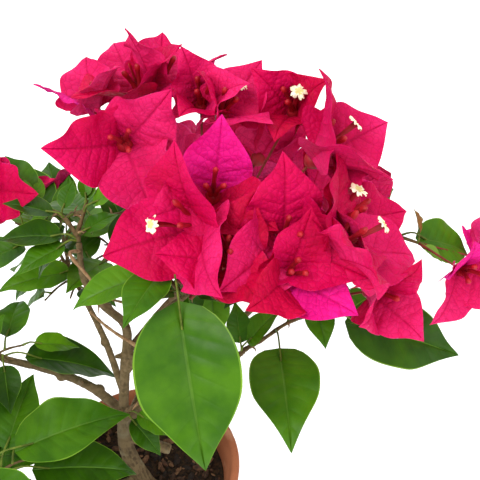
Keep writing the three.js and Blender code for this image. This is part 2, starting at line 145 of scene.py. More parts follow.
@dataclass(frozen=True)
class SprayPlan:
    """One mass that grows on from a bough's tip, within the balls of its space.

    Leaves are place along the stem, bearing, rise, length and roll. Blooms are bearing,
    rise and distance from the tip, bearing and rise faced, spin, size, opening and stars.
    Tones has a letter for each leaf in turn, and hues three for each bloom. `finer` is how
    many finer twigs are tried on each of its twigs.
    """

    name: str
    bough: str
    space: Sequence[Row]
    stem: Sequence[Row]
    leaves: Sequence[Row] = ()
    blooms: Sequence[Row] = ()
    side: Sequence[Side] = ()
    fill: Fill | None = None
    leave: Row | None = None
    tones: str = "dm"
    hues: str = "ppp"
    finer: int = 0


LEAF = BladeForm(width=0.6, arch=28, fold=12, rise=0.6, fall=0.95)
BRACT = BladeForm(width=0.78, arch=26, fold=8, rise=0.55, fall=0.95)
CLEAR = 0.3  # gap left between neighbouring solids that meet
POT_RIM, POT_TOP = 56, 100  # outer radius and height of the pot
KEEP_OFF = 2.5  # how far a leaf stays from the bark of a limb
KEEP_APART = 4.5  # how far it stays from what another mass holds
ROOTED = 0.96  # no stalk is rooted further along a twig than this
STALK_SHARE, STALK_LIFT, STALK_END, STALK_KNEE = 0.24, 40, 0.16, 0.45
BLOOM_LENGTH, BLOOM_OPEN, BLOOM_SEAT, PEDICEL_SPACING = 38, 42, 2.1, 0.035
PETIOLE_RADIUS, PEDICEL_RADIUS = 0.7, 0.8
TWIG_FROM, TWIG_TO, TWIG_LEAD = 1.3, 0.8, 4

LIMBS = (
    LimbPlan("trunk", [[5, -11, 72], [0, -9, 92], [-8, -4, 122], [-8, 3, 150]], 5.2, 3.4),
    LimbPlan(
        "bough_upright",
        [[-8, 3, 150], [-5, 9, 178], [-3, 14, 205], [-14, 17, 218], [-22, 23, 230], [-24, 33, 245]], 2.8, 1.5
    ),
    LimbPlan("bough_left", [[-8, 2, 147], [-25, 9, 160], [-43, 12, 169], [-69, 8, 186]], 2.8, 1.8),
    LimbPlan("bough_centre", [[-5, 8, 174], [4, 6, 192], [11, 6, 214], [29, 3, 237]], 2.2, 1.6),
    LimbPlan("bough_right", [[-8, 1, 144], [8, -1, 153], [38, 0, 174], [56, 4, 194]], 2.4, 1.5),
    LimbPlan(
        "bough_front_left", [[-2, -8, 98], [-20, -22, 108], [-44, -38, 130], [-60, -44, 160]], 2.2, 1.5
    ),
    LimbPlan("bough_back", [[-8, -1, 136], [4, 22, 152], [18, 48, 172], [26, 68, 190]], 2.5, 1.6),
    LimbPlan("bough_back_left", [[-7, 5, 162], [-18, 28, 176], [-34, 54, 190]], 2.1, 1.5),
    LimbPlan("bough_back_right", [[-8, 1, 142], [22, 20, 160], [56, 40, 180], [76, 52, 196]], 2.2, 1.5),
    LimbPlan("bough_far_right", [[-4, 11, 186], [24, 30, 212], [60, 38, 236], [100, 42, 247]], 2, 1.3),
)

SPRAYS = (
    SprayPlan(
        "bloom_head", "bough_centre", tones="mmdbmm",
        hues="pcp cpr ppm cpp pcp pcp rcr pcc rcc cpc pcc cpp crm mpr cpc rcr rcc ccr pcc",
        space=[[55, 15, 275, 105], [-5, 50, 300, 80], [45, -40, 230, 70]],
        stem=[[38, 4, 246], [52, 12, 262]],
        leaves=[[0.05, 200, 25, 26], [0.1, 0, 0, 24], [0.5, 80, -10, 40]],
        blooms=[
            [147, 34, 68, 278, 21, 50, 1.06], [128, 36, 83, 170, 70, 88, 0.95],
            [143, 30, 90, 140, 70, 104, 0.8, 30], [121, 37, 80, 60, 60, 72, 1, 30],
            [106, 48, 67, 280, 60, 112, 0.8, 20], [94, 53, 61, 340, 60, 0, 0.8, 30, 1],
            [56, 40, 71, 250, 50, 32, 0.8, 20, 1], [18, 47, 58, 0, 40, 320, 1.1, 30, 1],
            [354, 22, 51, 350, 40, 72, 1, 42, 1], [323, 37, 38, 280, 40, 88, 1, 50],
            [332, 21, 54, 0, 40, 288, 1.15, 42, 1], [344, -7, 67, 300, 20, 56, 0.85, 22],
            [309, 19, 43, 300, 40, 66, 0.85], [158, 77, 30, 280, 50, 78, 0.95],
            [219, 54, 28, 230, 30, 222, 1.15, 42, 1], [271, 33, 30, 260, 60, 72, 0.85],
            [75, 12, 58, 80, 20, 10], [40, 5, 54, 45, 10, 80], [112, 5, 56, 115, 5, 50],
        ],
        side=[
            Side(0.05, [[20, 8, 250], [26, 1, 264]], leaves=[[0.45, 196, -17, 38], [1, 243, -10, 34]]),
            Side(0.2, [[28, -2, 257], [26, -5, 271]], leaves=[[1, 281, -52, 79, 8]]),
        ],
    ),
    SprayPlan(
        "spray_right", "bough_right", tones="mbmdd",
        space=[[95, 8, 200, 85]],
        stem=[[67, 9, 199], [84, 15, 208], [110, 16, 212]],
        leaves=[
            [0.62, 274, -6, 57], [0.08, 23, 45, 26], [0.05, 101, 47, 22], [0.85, 350, -20, 65, 22],
            [0.7, 70, -10, 40],
        ],
    ),
    SprayPlan(
        "spray_far_right", "bough_far_right", tones="mzy", hues="mpp ppm",
        space=[[150, 35, 245, 75]],
        stem=[[126, 38, 248], [147, 31, 245]],
        leaves=[[0.8, 12, -32, 42, 25], [0.95, 100, 68, 16, 60], [1, 330, -30, 12]],
        blooms=[[318, -6, 24, 285, 10, 100, 0.8], [20, -30, 42, 20, 10, 70, 0.9]],
    ),
    SprayPlan(
        "spray_front_left", "bough_front_left", tones="mmdbm", finer=2,
        space=[[-60, -44, 170, 85]],
        stem=[[-72, -46, 174], [-84, -44, 180]],
        leaves=[
            [0.52, 24, -1, 60], [0.3, 79, 14, 42], [0.02, 8, -14, 54], [1, 200, -5, 50],
            [0.8, 260, 5, 48],
        ],
        side=[
            Side(
                0.1, [[-72, -38, 157], [-83, -26, 143]],
                leaves=[[1, 3, 3, 36], [1, 215, -10, 44], [0.7, 265, -15, 44]],
            ),
        ],
        fill=Fill(seed=41, shoots=2, bearing=230, spread=50, rise=0),
    ),
    SprayPlan(
        "spray_left_low", "bough_left", tones="dmdmb", finer=2, hues="pcp",
        space=[[-85, 10, 190, 85]],
        stem=[[-84, 2, 196], [-100, 0, 206]],
        leaves=[
            [0.05, 13, -30, 54, -10], [0.5, 60, 25, 20], [0.5, 250, -10, 48], [1, 185, 0, 50],
            [0.8, 120, 10, 46],
        ],
        blooms=[[200, 55, 26, 200, 50, 0]],
        fill=Fill(seed=31, shoots=2, bearing=200, spread=40, rise=0),
    ),
    SprayPlan(
        "spray_left_high", "bough_upright", tones="mdmbm", hues="cpc",
        space=[[-45, 46, 252, 80]],
        stem=[[-23, 42, 252], [-20, 48, 260]],
        leaves=[
            [0.05, 210, -16, 29], [0.1, 178, -6, 34], [0.2, 38, 3, 20], [0.8, 15, 22, 25],
            [0.9, 83, 25, 15], [1, 100, 40, 12],
        ],
        side=[
            Side(
                0.25, [[-34, 44, 254], [-50, 50, 252], [-64, 53, 250]],
                leaves=[[0.25, 181, 16, 25], [0.3, 74, 27, 16], [0.55, 116, 23, 19], [0.6, 126, 23, 29]],
                blooms=[[146, 36, 14, 270, 30, 0, 0.9]],
            ),
        ],
        fill=Fill(seed=53, shoots=2, bearing=100, spread=40, rise=-25),
    ),
    SprayPlan(
        "spray_low_front", "trunk", tones="dby",
        leave=[-8, 2, 146],
        space=[[14, -12, 165, 45]],
        stem=[[-6, -5, 157], [2, -10, 170], [12, -10, 186]],
        leaves=[[0.3, 321, -35, 25], [0.45, 340, -25, 24], [0.9, 20, 10, 26]],
    ),
    SprayPlan(
        "spray_back", "bough_back", tones="mddb", finer=8, hues="ccr pcc",
        space=[[36, 95, 210, 80]],
        stem=[[32, 84, 202], [40, 100, 212]],
        leaves=[[1, 85, 5, 50], [0.6, 20, 10, 46], [0.3, 200, -5, 48]],
        blooms=[[80, 50, 30, 85, 40, 0], [30, 25, 30, 60, 25, 60]],
        fill=Fill(seed=61, shoots=4, bearing=85, spread=55, rise=0),
    ),
    SprayPlan(
        "spray_back_left", "bough_back_left", tones="dmb", finer=8, hues="cpc",
        space=[[-55, 88, 210, 75]],
        stem=[[-44, 68, 198], [-54, 84, 208]],
        leaves=[[1, 120, 10, 48], [0.5, 190, -5, 46], [0.3, 60, -10, 46]],
        blooms=[[105, 0, 30, 110, 40, 40, 0.8]],
        fill=Fill(seed=71, shoots=3, bearing=100, spread=50, rise=5),
    ),
    SprayPlan(
        "spray_back_right", "bough_back_right", tones="mdb", finer=12, hues="rcr",
        space=[[105, 75, 215, 75]],
        stem=[[88, 60, 204], [102, 70, 214]],
        leaves=[[1, 40, 5, 50], [0.5, 330, -15, 44], [0.4, 100, 0, 46]],
        blooms=[[50, 45, 28, 45, 35, 20]],
        fill=Fill(seed=83, shoots=3, bearing=40, spread=60, rise=-5),
    ),
)


# ------------------------------------------------------------------ directions and seeds


def heading(bearing: float, rise: float) -> Array:
    """The unit vector of a compass bearing and a rise, both in degrees.

    Args:
        bearing: Anticlockwise from +X.
        rise: Above the level.

    Returns:
        A unit vector.
    """
    turn, lift = math.radians(bearing), math.radians(rise)
    flat = math.cos(lift)
    return np.array([flat * math.cos(turn), flat * math.sin(turn), math.sin(lift)])


def unit(vector: Array) -> Array:
    """The vector, or each row of vectors, at length one."""
    return vector / np.linalg.norm(vector, axis=-1, keepdims=True)


def square_to(along: Array, wanted: Array) -> Array:
    """The unit vector nearest to `wanted` that stands square on `along`."""
    return unit(wanted - along * np.dot(along, wanted))


def round_turns(count: int) -> Array:
    """Angles spread evenly round a circle, in radians."""
    return np.linspace(0, 2 * math.pi, count, endpoint=False)


def swung(vector: Array, axis: Array, degrees: float) -> Array:
    """A vector turned about a unit axis.

    Args:
        vector: What is turned.
        axis: The unit axis.
        degrees: How far, anticlockwise about the axis.

    Returns:
        The turned vector.
    """
    turn = math.radians(degrees)
    across = np.cross(axis, vector)
    lift = axis * np.dot(axis, vector) * (1 - math.cos(turn))
    return vector * math.cos(turn) + across * math.sin(turn) + lift


class Seed:
    """A seeded source of numbers: one seed always grows one shoot."""

    STRIDE, FACTOR, MODULUS = 7919, 48271, 2147483647

    def __init__(self, start: int) -> None:
        """Start the row of numbers at a seed."""
        self.state = start * self.STRIDE

    def between(self, low: float, high: float) -> float:
        """The next number of the row, spread from low to high."""
        self.state = (self.state * self.FACTOR) % self.MODULUS
        return low + (high - low) * self.state / self.MODULUS


# ------------------------------------------------------------------ limbs


class Path:
    """A smooth line through a few places, evenly rounded however far apart they are."""

    CLOSE = 1e-4

    def __init__(self, places: Sequence[Row]) -> None:
        """Keep the places, with one more beyond each end."""
        inner = np.array(places, float)
        before, after = 2 * inner[0] - inner[1], 2 * inner[-1] - inner[-2]
        self.places = np.vstack([before, inner, after])
        self.spans = len(inner) - 1

    def at(self, shares: Row | Array | float) -> Array:
        """The places at some shares of the line, one to a row.

        Args:
            shares: From 0 at the start to 1 at the end.

        Returns:
            An array with a row for each share.
        """
        along = np.atleast_1d(np.asarray(shares, float)) * self.spans
        first = np.clip(np.floor(along).astype(int), 0, self.spans - 1)
        weight = (along - first)[:, None]
        a, b, c, d = (self.places[first + step] for step in range(4))
        before, here, after = (
            np.sqrt(np.linalg.norm(end - start, axis=1))[:, None] for start, end in ((a, b), (b, c), (c, d))
        )
        leave = ((b - a) / before - (c - a) / (before + here) + (c - b) / here) * here
        arrive = ((c - b) / here - (d - b) / (here + after) + (d - c) / after) * here
        square = 3 * (c - b) - 2 * leave - arrive
        cube = 2 * (b - c) + leave + arrive
        return b + weight * (leave + weight * (square + weight * cube))

    def tangents(self, shares: Row | Array | float) -> Array:
        """The unit directions of the line at some shares of it."""
        shares = np.atleast_1d(np.asarray(shares, float))
        ahead = self.at(np.minimum(shares + self.CLOSE, 1))
        return unit(ahead - self.at(np.maximum(shares - self.CLOSE, 0)))

    def length(self) -> float:
        """How long the line is, in millimetres."""
        steps = np.diff(self.at(np.linspace(0, 1, 33)), axis=0)
        return float(np.linalg.norm(steps, axis=1).sum())


class Limb:
    """A path with a radius that tapers along it."""

    STEPS = 24  # places that stand for it when others keep clear

    def __init__(self, places: Sequence[Row], start: float, end: float) -> None:
        """Keep the path and the radius at both ends."""
        self.path = Path(places)
        self.start = start
        self.end = end

    def radius(self, share: Array | float) -> Array | float:
        """The radius at a share of the length."""
        return self.start + (self.end - self.start) * share

    def rooted(self, share: float) -> Array:
        """A place on the middle line to root a stalk at, never right at the tip."""
        return self.path.at(min(share, ROOTED))[0]

    def samples(self, steps: int) -> Array:
        """Places along the middle line, from end to end."""
        return self.path.at(np.linspace(0, 1, steps + 1))


def stalk(root: Array, tip: Array, start: Array, radius: float) -> Limb:
    """A stalk that sets off one way and bends to its tip.

    Args:
        root: Where it starts.
        tip: Where it ends.
        start: The way it sets off.
        radius: Its radius all along.

    Returns:
        The stalk as a limb.
    """
    knee = root + start * np.linalg.norm(tip - root) * STALK_KNEE
    return Limb([root, knee, tip], radius, radius)


# ------------------------------------------------------------------ growth


@dataclass
class Blade:
    """The plain blade of a leaf or bract: a pointed oval, folded and arching over.

    Its midrib sets off from the base along one way, and its face looks up another.
    """

    base: Array
    along: Array
    up: Array
    length: float
    form: BladeForm

    def __post_init__(self) -> None:
        """Set the face square on the midrib."""
        self.up = square_to(self.along, self.up)
        self.side = np.cross(self.up, self.along)

    def half_width(self, share: Array) -> Array:
        """Half the blade's width at some shares of its length."""
        rise, fall = self.form.rise, self.form.fall
        widest = rise / (rise + fall)
        peak = widest**rise * (1 - widest) ** fall
        return self.length * self.form.width * 0.5 * share**rise * (1 - share) ** fall / peak

    def place(self, share: Array, across: Array, out: Array | float = 0) -> Array:
        """Places on the blade.

        Args:
            share: From 0 at the base to 1 at the tip.
            across: From -1 to 1 between the margins.
            out: How far off the face.

        Returns:
            An array of places with the shape of `share` and one more axis.
        """
        arch, fold = math.radians(self.form.arch), math.radians(self.form.fold)
        turn = arch * share
        half = self.half_width(share) * across
        forward = self.length * np.sin(turn) / arch
        down = self.length * (1 - np.cos(turn)) / arch
        lift = np.abs(half) * math.sin(fold) + out
        return (
            self.base
            + (forward + lift * np.sin(turn))[..., None] * self.along
            + (lift * np.cos(turn) - down)[..., None] * self.up
            + (half * math.cos(fold))[..., None] * self.side
        )

    def samples(self) -> Array:
        """Places spread all over the blade, one to a row."""
        share, across = np.meshgrid(np.arange(1, 11) / 10, np.arange(-3, 4) / 3, indexing="ij")
        return self.place(share, across).reshape(-1, 3)


@dataclass
class Leaf:
    """A leaf that a mass has grown."""

    blade: Blade
    tone: Tone
    fine: bool


@dataclass
class Bloom:
    """A bloom that a mass has grown: three bracts round three tubes."""

    centre: Array
    face: Array
    outs: list[Array]
    blades: list[Blade]
    size: float
    stars: int
    hues: list[Hue]


@dataclass
class Twig:
    """A twig or stalk that a mass has grown."""

    limb: Limb
    green: bool


@dataclass
class Room:
    """What small cells between two corners are taken up, for the finer growth."""

    low: Array
    high: Array

    CELL, REACH = 3.5, 1.2

    def __post_init__(self) -> None:
        """Start with every cell empty."""
        self.taken = np.zeros(np.ceil((self.high - self.low) / self.CELL).astype(int) + 1, bool)

    def cells(self, places: Array) -> tuple[Array, ...]:
        """The cells that places lie in."""
        index = np.floor((places - self.low) / self.CELL).astype(int)
        return tuple(np.clip(index, 0, np.array(self.taken.shape) - 1).T)

    def take(self, places: Array) -> None:
        """Mark the cells round some places as taken."""
        steps = np.vstack([np.zeros(3), np.eye(3), -np.eye(3)]) * self.REACH
        self.taken[self.cells((places[:, None] + steps).reshape(-1, 3))] = True

    def is_free(self, places: Array) -> bool:
        """Whether places are all within the corners and in empty cells."""
        if (places < self.low).any() or (places > self.high).any():
            return False
        return not self.taken[self.cells(places)].any()


class Spray:
    """One mass: all that grows on from one bough's tip."""

    HOLD_STEPS = 8
    SHOOT_LENGTH, SHOOT_LEAF, SHOOT_LEAVES, SHOOT_TURN, SHOOT_DROOP = (26, 40), (36, 50), 3, 62, 6
    SHOOT_SWAY, SHOOT_RISE, SHOOT_LIFT = (-10, 10), (-18, 18), (-25, 10)
    FINE_LENGTH, FINE_LEAF, FINE_LEAVES, FINE_RADIUS, FINE_DROOP = (12, 26), (24, 42), 3, 0.75, 10
    FINE_ROOT, FINE_SWAY, FINE_RISE = (0.2, 1), (-30, 30), (-25, 50)
    FINE_TURN, FINE_LIFT = (-15, 15), (-35, 5)
    FINE_SEED, FINE_STRIDE, FINE_TAPER = 100, 17, 0.7

    def __init__(self, plan: SprayPlan, limbs: Sequence[Limb], rivals: Sequence["Spray"]) -> None:
        """Grow the mass by its plan.

        Args:
            plan: What grows where.
            limbs: All the limbs, which its leaves keep clear of.
            rivals: The masses that have grown before, which they keep clear of too.
        """
        self.plan = plan
        self.centres = np.vstack([limb.samples(limb.STEPS) for limb in limbs])
        shares = np.linspace(0, 1, Limb.STEPS + 1)
        self.reaches = np.concatenate([limb.radius(shares) for limb in limbs]) + KEEP_OFF
        others = [places for rival in rivals for places in rival.held]
        self.others = np.vstack(others) if others else np.empty((0, 3))
        self.held: list[Array] = []
        self.leaves: list[Leaf] = []
        self.blooms: list[Bloom] = []
        self.twigs: list[Twig] = []

    def is_free(self, places: Array) -> bool:
        """Whether places are all in this mass's space, off the limbs, the pot and the others."""
        balls = np.array(self.plan.space, float)
        to_hearts = np.linalg.norm(places[:, None] - balls[:, :3], axis=2)
        if not (to_hearts < balls[:, 3]).any(axis=1).all():
            return False
        by_pot = np.hypot(places[:, 0], places[:, 1]) < POT_RIM + KEEP_OFF
        if (by_pot & (places[:, 2] < POT_TOP + KEEP_OFF)).any():
            return False
        if (np.linalg.norm(places[:, None] - self.centres, axis=2) < self.reaches).any():
            return False
        return not (((places[:, None] - self.others) ** 2).sum(axis=2) < KEEP_APART**2).any()

    def bind(self, limb: Limb, green: bool) -> None:
        """Add a twig or stalk, and hold its places."""
        self.held.append(limb.samples(self.HOLD_STEPS))
        self.twigs.append(Twig(limb, green))

    def leaf(self, twig: Limb, row: Row, room: Room | None = None) -> bool:
        """A leaf on its stalk, part way along a twig, if there is space for it.

        Args:
            twig: What it grows from.
            row: Place along the twig, bearing, rise, length and roll.
            room: The cells that finer growth has to keep out of.

        Returns:
            Whether it has grown.
        """
        at, bearing, rise, length, roll = (*row, 0)[:5]
        node = twig.rooted(at)
        along = heading(bearing, rise + LEAF.arch / 2)
        up = swung(square_to(along, UP), along, roll)
        blade = Blade(node + along * STALK_SHARE * length, along, up, length, LEAF)
        places = blade.samples()
        if not self.is_free(places) or (room and not room.is_free(places)):
            return False
        tone = Tone(self.plan.tones[len(self.leaves) % len(self.plan.tones)])
        self.leaves.append(Leaf(blade, tone, room is None))
        self.held.append(places)
        tip = blade.place(np.array(STALK_END), np.array(0.0))
        self.bind(stalk(node, tip, heading(bearing, rise + STALK_LIFT), PETIOLE_RADIUS), True)
        return True

    def bloom(self, twig: Limb, row: Row, index: int) -> None:
        """A bloom on its own stalk, if there is space for it.

        Args:
            twig: What it grows from, at the tip.
            row: The bloom's row in the plan.
            index: Which of the twig's blooms it is.
        """
        rest = (1, BLOOM_OPEN, 0)[len(row) - 6 :]
        bearing, rise, distance, faces, lift, spin, size, opens, stars = (*row, *rest)
        centre = twig.rooted(1) + heading(bearing, rise) * distance
        face = heading(faces, lift)
        level = square_to(face, heading(faces + 90, 0))
        outs = [swung(level, face, spin + turn) for turn in (0, 120, 240)]
        inward, outward = math.cos(math.radians(opens)), math.sin(math.radians(opens))
        blades = [
            Blade(centre + out * BLOOM_SEAT, face * inward + out * outward, face, BLOOM_LENGTH * size, BRACT)
            for out in outs
        ]
        if not all(self.is_free(blade.samples()) for blade in blades):
            return
        root = twig.rooted(1 - PEDICEL_SPACING * index)
        self.bind(stalk(root, centre, heading(bearing, rise), PEDICEL_RADIUS), True)
        self.held.extend(blade.samples() for blade in blades)
        trios = self.plan.hues.split()
        hues = [Hue(letter) for letter in trios[len(self.blooms) % len(trios)]]
        self.blooms.append(Bloom(centre, face, outs, blades, size, int(stars), hues))

    def twig(
        self, places: Sequence[Row], radius: float, leaves: Sequence[Row], blooms: Sequence[Row] = ()
    ) -> Limb:
        """A twig with the leaves and blooms it bears.

        Args:
            places: What it runs through.
            radius: At its foot.
            leaves: The rows of its leaves.
            blooms: The rows of its blooms.

        Returns:
            The twig as a limb.
        """
        twig = Limb(places, radius, TWIG_TO)
        self.bind(twig, False)
        for row in leaves:
            self.leaf(twig, row)
        for index, row in enumerate(blooms):
            self.bloom(twig, row, index)
        return twig

    def shoot(self, stem: Limb, fill: Fill, index: int) -> None:
        """One shoot of the seeded rule: leaves turn left and right, with one at its tip.

        Args:
            stem: What it leaves.
            fill: The rule's numbers.
            index: Which shoot it is.
        """
        seed = Seed(fill.seed + index)
        root = stem.path.at((index + 0.6) / fill.shoots)[0]
        share = 2 * index / (fill.shoots - 1) - 1
        bearing = fill.bearing + fill.spread * share + seed.between(*self.SHOOT_SWAY)
        rise = fill.rise + seed.between(*self.SHOOT_RISE)
        length = seed.between(*self.SHOOT_LENGTH)
        middle = root + heading(bearing, rise + self.SHOOT_DROOP) * length / 2
        tip = root + heading(bearing, rise) * length
        leaves = []
        for step in range(1, self.SHOOT_LEAVES + 1):
            side = 1 if step % 2 else -1
            turn = 0 if step == self.SHOOT_LEAVES else self.SHOOT_TURN * side
            lift = rise + seed.between(*self.SHOOT_LIFT)
            leaves.append([step / self.SHOOT_LEAVES, bearing + turn, lift, seed.between(*self.SHOOT_LEAF)])
        if self.is_free(np.array([middle, tip])):
            self.twig([root, middle, tip], TWIG_FROM, leaves)

    def grow(self, bough: Limb) -> None:
        """Grow the stem on from the bough's tip, or from where it leaves the trunk, then the rest."""
        plan = self.plan
        if plan.leave:
            stem = self.twig([plan.leave, *plan.stem], TWIG_FROM, plan.leaves, plan.blooms)
        else:
            away = bough.path.tangents(1)[0]
            start = bough.path.at(1)[0] + away * CLEAR
            places = [start, start + away * TWIG_LEAD, *plan.stem]
            stem = self.twig(places, bough.end, plan.leaves, plan.blooms)
        for side in plan.side:
            self.twig([stem.path.at(side.at)[0], *side.path], TWIG_FROM, side.leaves, side.blooms)
        if plan.fill:
            for index in range(plan.fill.shoots):
                self.shoot(stem, plan.fill, index)

    def grow_finer(self, room: Room) -> None:
        """Carry the rule to finer twigs on each twig, in the cells that are still empty.

        Args:
            room: What is taken so far, which this adds to.
        """
        woody = [twig.limb for twig in self.twigs if not twig.green]
        for index, twig in enumerate(woody):
            seed = Seed(self.FINE_SEED + self.FINE_STRIDE * index + self.plan.finer)
            for step in range(self.plan.finer):
                root = twig.rooted(seed.between(*self.FINE_ROOT))
                bearing = GOLDEN * step + seed.between(*self.FINE_SWAY)
                rise = seed.between(*self.FINE_RISE)
                length = seed.between(*self.FINE_LENGTH)
                tip = root + heading(bearing, rise) * length
                middle = root + heading(bearing, rise + self.FINE_DROOP) * length / 2
                fine = Limb([root, middle, tip], self.FINE_RADIUS, self.FINE_RADIUS * self.FINE_TAPER)
                grown = False
                for leaf in range(self.FINE_LEAVES):
                    turn = 0 if leaf == self.FINE_LEAVES - 1 else self.SHOOT_TURN * (1 - 2 * (leaf % 2))
                    row = [
                        (leaf + 1.2) / self.FINE_LEAVES,
                        bearing + turn + seed.between(*self.FINE_TURN),
                        rise + seed.between(*self.FINE_LIFT),
                        seed.between(*self.FINE_LEAF),
                    ]
                    if self.leaf(fine, row, room):
                        grown = True
                        room.take(self.leaves[-1].blade.samples())
                if grown:
                    self.bind(fine, False)


class Plant:
    """The whole of the growth: the limbs, the masses and their finer twigs."""

    def __init__(self) -> None:
        """Grow the plant by its plan."""
        self.limbs = {plan.name: Limb(plan.path, plan.start, plan.end) for plan in LIMBS}
        self.sprays: dict[str, Spray] = {}
        for plan in SPRAYS:
            spray = Spray(plan, list(self.limbs.values()), list(self.sprays.values()))
            spray.grow(self.limbs[plan.bough])
            self.sprays[plan.name] = spray
        low, high = (np.array(corner) / MM for corner in SOLID_BOX)
        room = Room(low, high)
        for spray in self.sprays.values():
            for places in spray.held:
                room.take(places)
        for spray in self.sprays.values():
            spray.grow_finer(room)

    def of(self, names: Iterable[str]) -> list[Spray]:
        """The masses with these names, in order."""
        return [self.sprays[name] for name in names]


# ------------------------------------------------------------------ mesh code


@dataclass
class Skin:
    """A closed skin: places in millimetres, faces of four and of three, and their slots."""

    places: Array
    quads: Array
    triangles: Array
    quad_slots: Array
    triangle_slots: Array


def lofted(rings: Array, first: Row, last: Row, slots: Row | int = 0) -> Skin:
    """A closed skin over rings of places, drawn to a point at each end.

    Args:
        rings: Rings by places by three, each ring anticlockwise about the way they run.
        first: The point before the first ring.
        last: The point after the last ring.
        slots: The slot of each band between rings, or of them all.

    Returns:
        The skin.
    """
    count, sides = rings.shape[:2]
    index = np.arange(count * sides).reshape(count, sides)
    after = np.roll(index, -1, axis=1)
    quads = np.stack([index[:-1], after[:-1], after[1:], index[1:]], axis=-1).reshape(-1, 4)
    start, end = np.full(sides, count * sides), np.full(sides, count * sides + 1)
    ends = [[start, after[0], index[0]], [end, index[-1], after[-1]]]
    triangles = np.vstack([np.stack(three, 1) for three in ends])
    bands = np.broadcast_to(np.asarray(slots, int), (count - 1,))
    caps = np.repeat([bands[0], bands[-1]], sides)
    places = np.vstack([rings.reshape(-1, 3), first, last])
    return Skin(places, quads, triangles, np.repeat(bands, sides), caps)


def ringed(path: Path, shares: Array, radii: Array, sides: int, slots: Row | int = 0) -> Skin:
    """A closed tube along a path.

    Args:
        path: Its middle line.
        shares: Where the rings are.
        radii: A radius for each ring, or for each place on each ring.
        sides: How many places are on a ring.
        slots: The slot of each band between rings, or of them all.

    Returns:
        The skin.
    """
    centres, tangents = path.at(shares), path.tangents(shares)
    run = np.abs(centres[-1] - centres[0])
    wanted = np.eye(3)[0] if run[1] > run[0] else np.eye(3)[1]
    across = unit(wanted - tangents * (tangents @ wanted)[:, None])
    other = np.cross(tangents, across)
    turns = round_turns(sides)
    spread = np.broadcast_to(np.asarray(radii, float).reshape(len(shares), -1), (len(shares), sides))
    rings = (
        centres[:, None]
        + (spread * np.cos(turns))[..., None] * across[:, None]
        + (spread * np.sin(turns))[..., None] * other[:, None]
    )
    return lofted(rings, centres[0], centres[-1], slots)


class Sheaf:
    """Many closed skins gathered into one piece."""

    def __init__(self, name: str) -> None:
        """Start an empty sheaf with the name that the piece will have."""
        self.name = name
        self.skins: list[Skin] = []
        self.marks: dict[str, list[Array]] = {}

    def add(self, skin: Skin, **marks: Array) -> None:
        """Gather one skin, with what its places are marked with."""
        self.skins.append(skin)
        for name, values in marks.items():
            self.marks.setdefault(name, []).append(values)

    def mesh(self) -> Mesh:
        """The gathered skins as one mesh, in metres."""
        counts = [len(skin.places) for skin in self.skins]
        starts = np.cumsum([0, *counts[:-1]])
        quads = np.vstack([skin.quads + start for skin, start in zip(self.skins, starts)])
        triangles = np.vstack([skin.triangles + start for skin, start in zip(self.skins, starts)])
        places = np.vstack([skin.places for skin in self.skins]) * MM
        mesh = bpy.data.meshes.new(self.name)
        mesh.vertices.add(len(places))
        mesh.vertices.foreach_set("co", places.astype(np.float32).ravel())
        corners = np.concatenate([quads.ravel(), triangles.ravel()])
        mesh.loops.add(len(corners))
        mesh.loops.foreach_set("vertex_index", corners.astype(np.int32))
        mesh.polygons.add(len(quads) + len(triangles))
        begins = [np.arange(len(quads)) * 4, quads.size + np.arange(len(triangles)) * 3]
        mesh.polygons.foreach_set("loop_start", np.concatenate(begins).astype(np.int32))
        slots = [skin.quad_slots for skin in self.skins] + [skin.triangle_slots for skin in self.skins]
        mesh.polygons.foreach_set("material_index", np.concatenate(slots).astype(np.int32))
        mesh.update(calc_edges=True)
        for name, parts in self.marks.items():
            write_mark(mesh, name, np.concatenate(parts))
        return mesh

    def build(self, finishes: Sequence["Finish"], sharp: float = 50) -> Thing:
        """The gathered skins as one object.

        Args:
            finishes: One for each slot.
            sharp: Edges that turn by more degrees than this stay sharp.

        Returns:
            The object, in the scene.
        """
        return placed(self.mesh(), finishes, sharp)


def write_mark(mesh: Mesh, name: str, values: Array) -> None:
    """Write a number or a vector for each place of a mesh as a named attribute."""
    kind, key = ("FLOAT", "value") if values.ndim == 1 else ("FLOAT_VECTOR", "vector")
    mark = mesh.attributes.new(name, kind, "POINT")
    mark.data.foreach_set(key, values.astype(np.float32).ravel())


def placed(mesh: Mesh, finishes: Sequence["Finish"], sharp: float = 50) -> Thing:
    """A mesh as an object in the scene, smooth but for its sharp edges.

    Args:
        mesh: The mesh, in metres.
        finishes: One for each of its slots.
        sharp: Edges that turn by more degrees than this stay sharp.

    Returns:
        The object.
    """
    for finish in finishes:
        mesh.materials.append(finish.material())
    mesh.polygons.foreach_set("use_smooth", np.ones(len(mesh.polygons), bool))
    mesh.set_sharp_from_angle(angle=math.radians(sharp))
    thing = bpy.data.objects.new(mesh.name, mesh)
    bpy.context.scene.collection.objects.link(thing)
    return thing


def hardened(thing: Thing) -> Mesh:
    """An object's mesh with its modifiers applied, and the object taken away.

    Args:
        thing: An object with modifiers.

    Returns:
        The finished mesh, under the object's name.
    """
    name = thing.name
    graph = bpy.context.evaluated_depsgraph_get()
    mesh = bpy.data.meshes.new_from_object(thing.evaluated_get(graph))
    bpy.data.objects.remove(thing)
    mesh.name = name
    mesh.materials.clear()
    return mesh


def places_of(mesh: Mesh) -> Array:
    """A mesh's places, one to a row."""
    flat = np.empty(len(mesh.vertices) * 3, np.float32)
    mesh.vertices.foreach_get("co", flat)
    return flat.reshape(-1, 3).astype(float)


def normals_of(mesh: Mesh) -> Array:
    """The way a mesh's skin faces at each place."""
    flat = np.empty(len(mesh.vertices) * 3, np.float32)
    mesh.vertex_normals.foreach_get("vector", flat)
    return flat.reshape(-1, 3).astype(float)


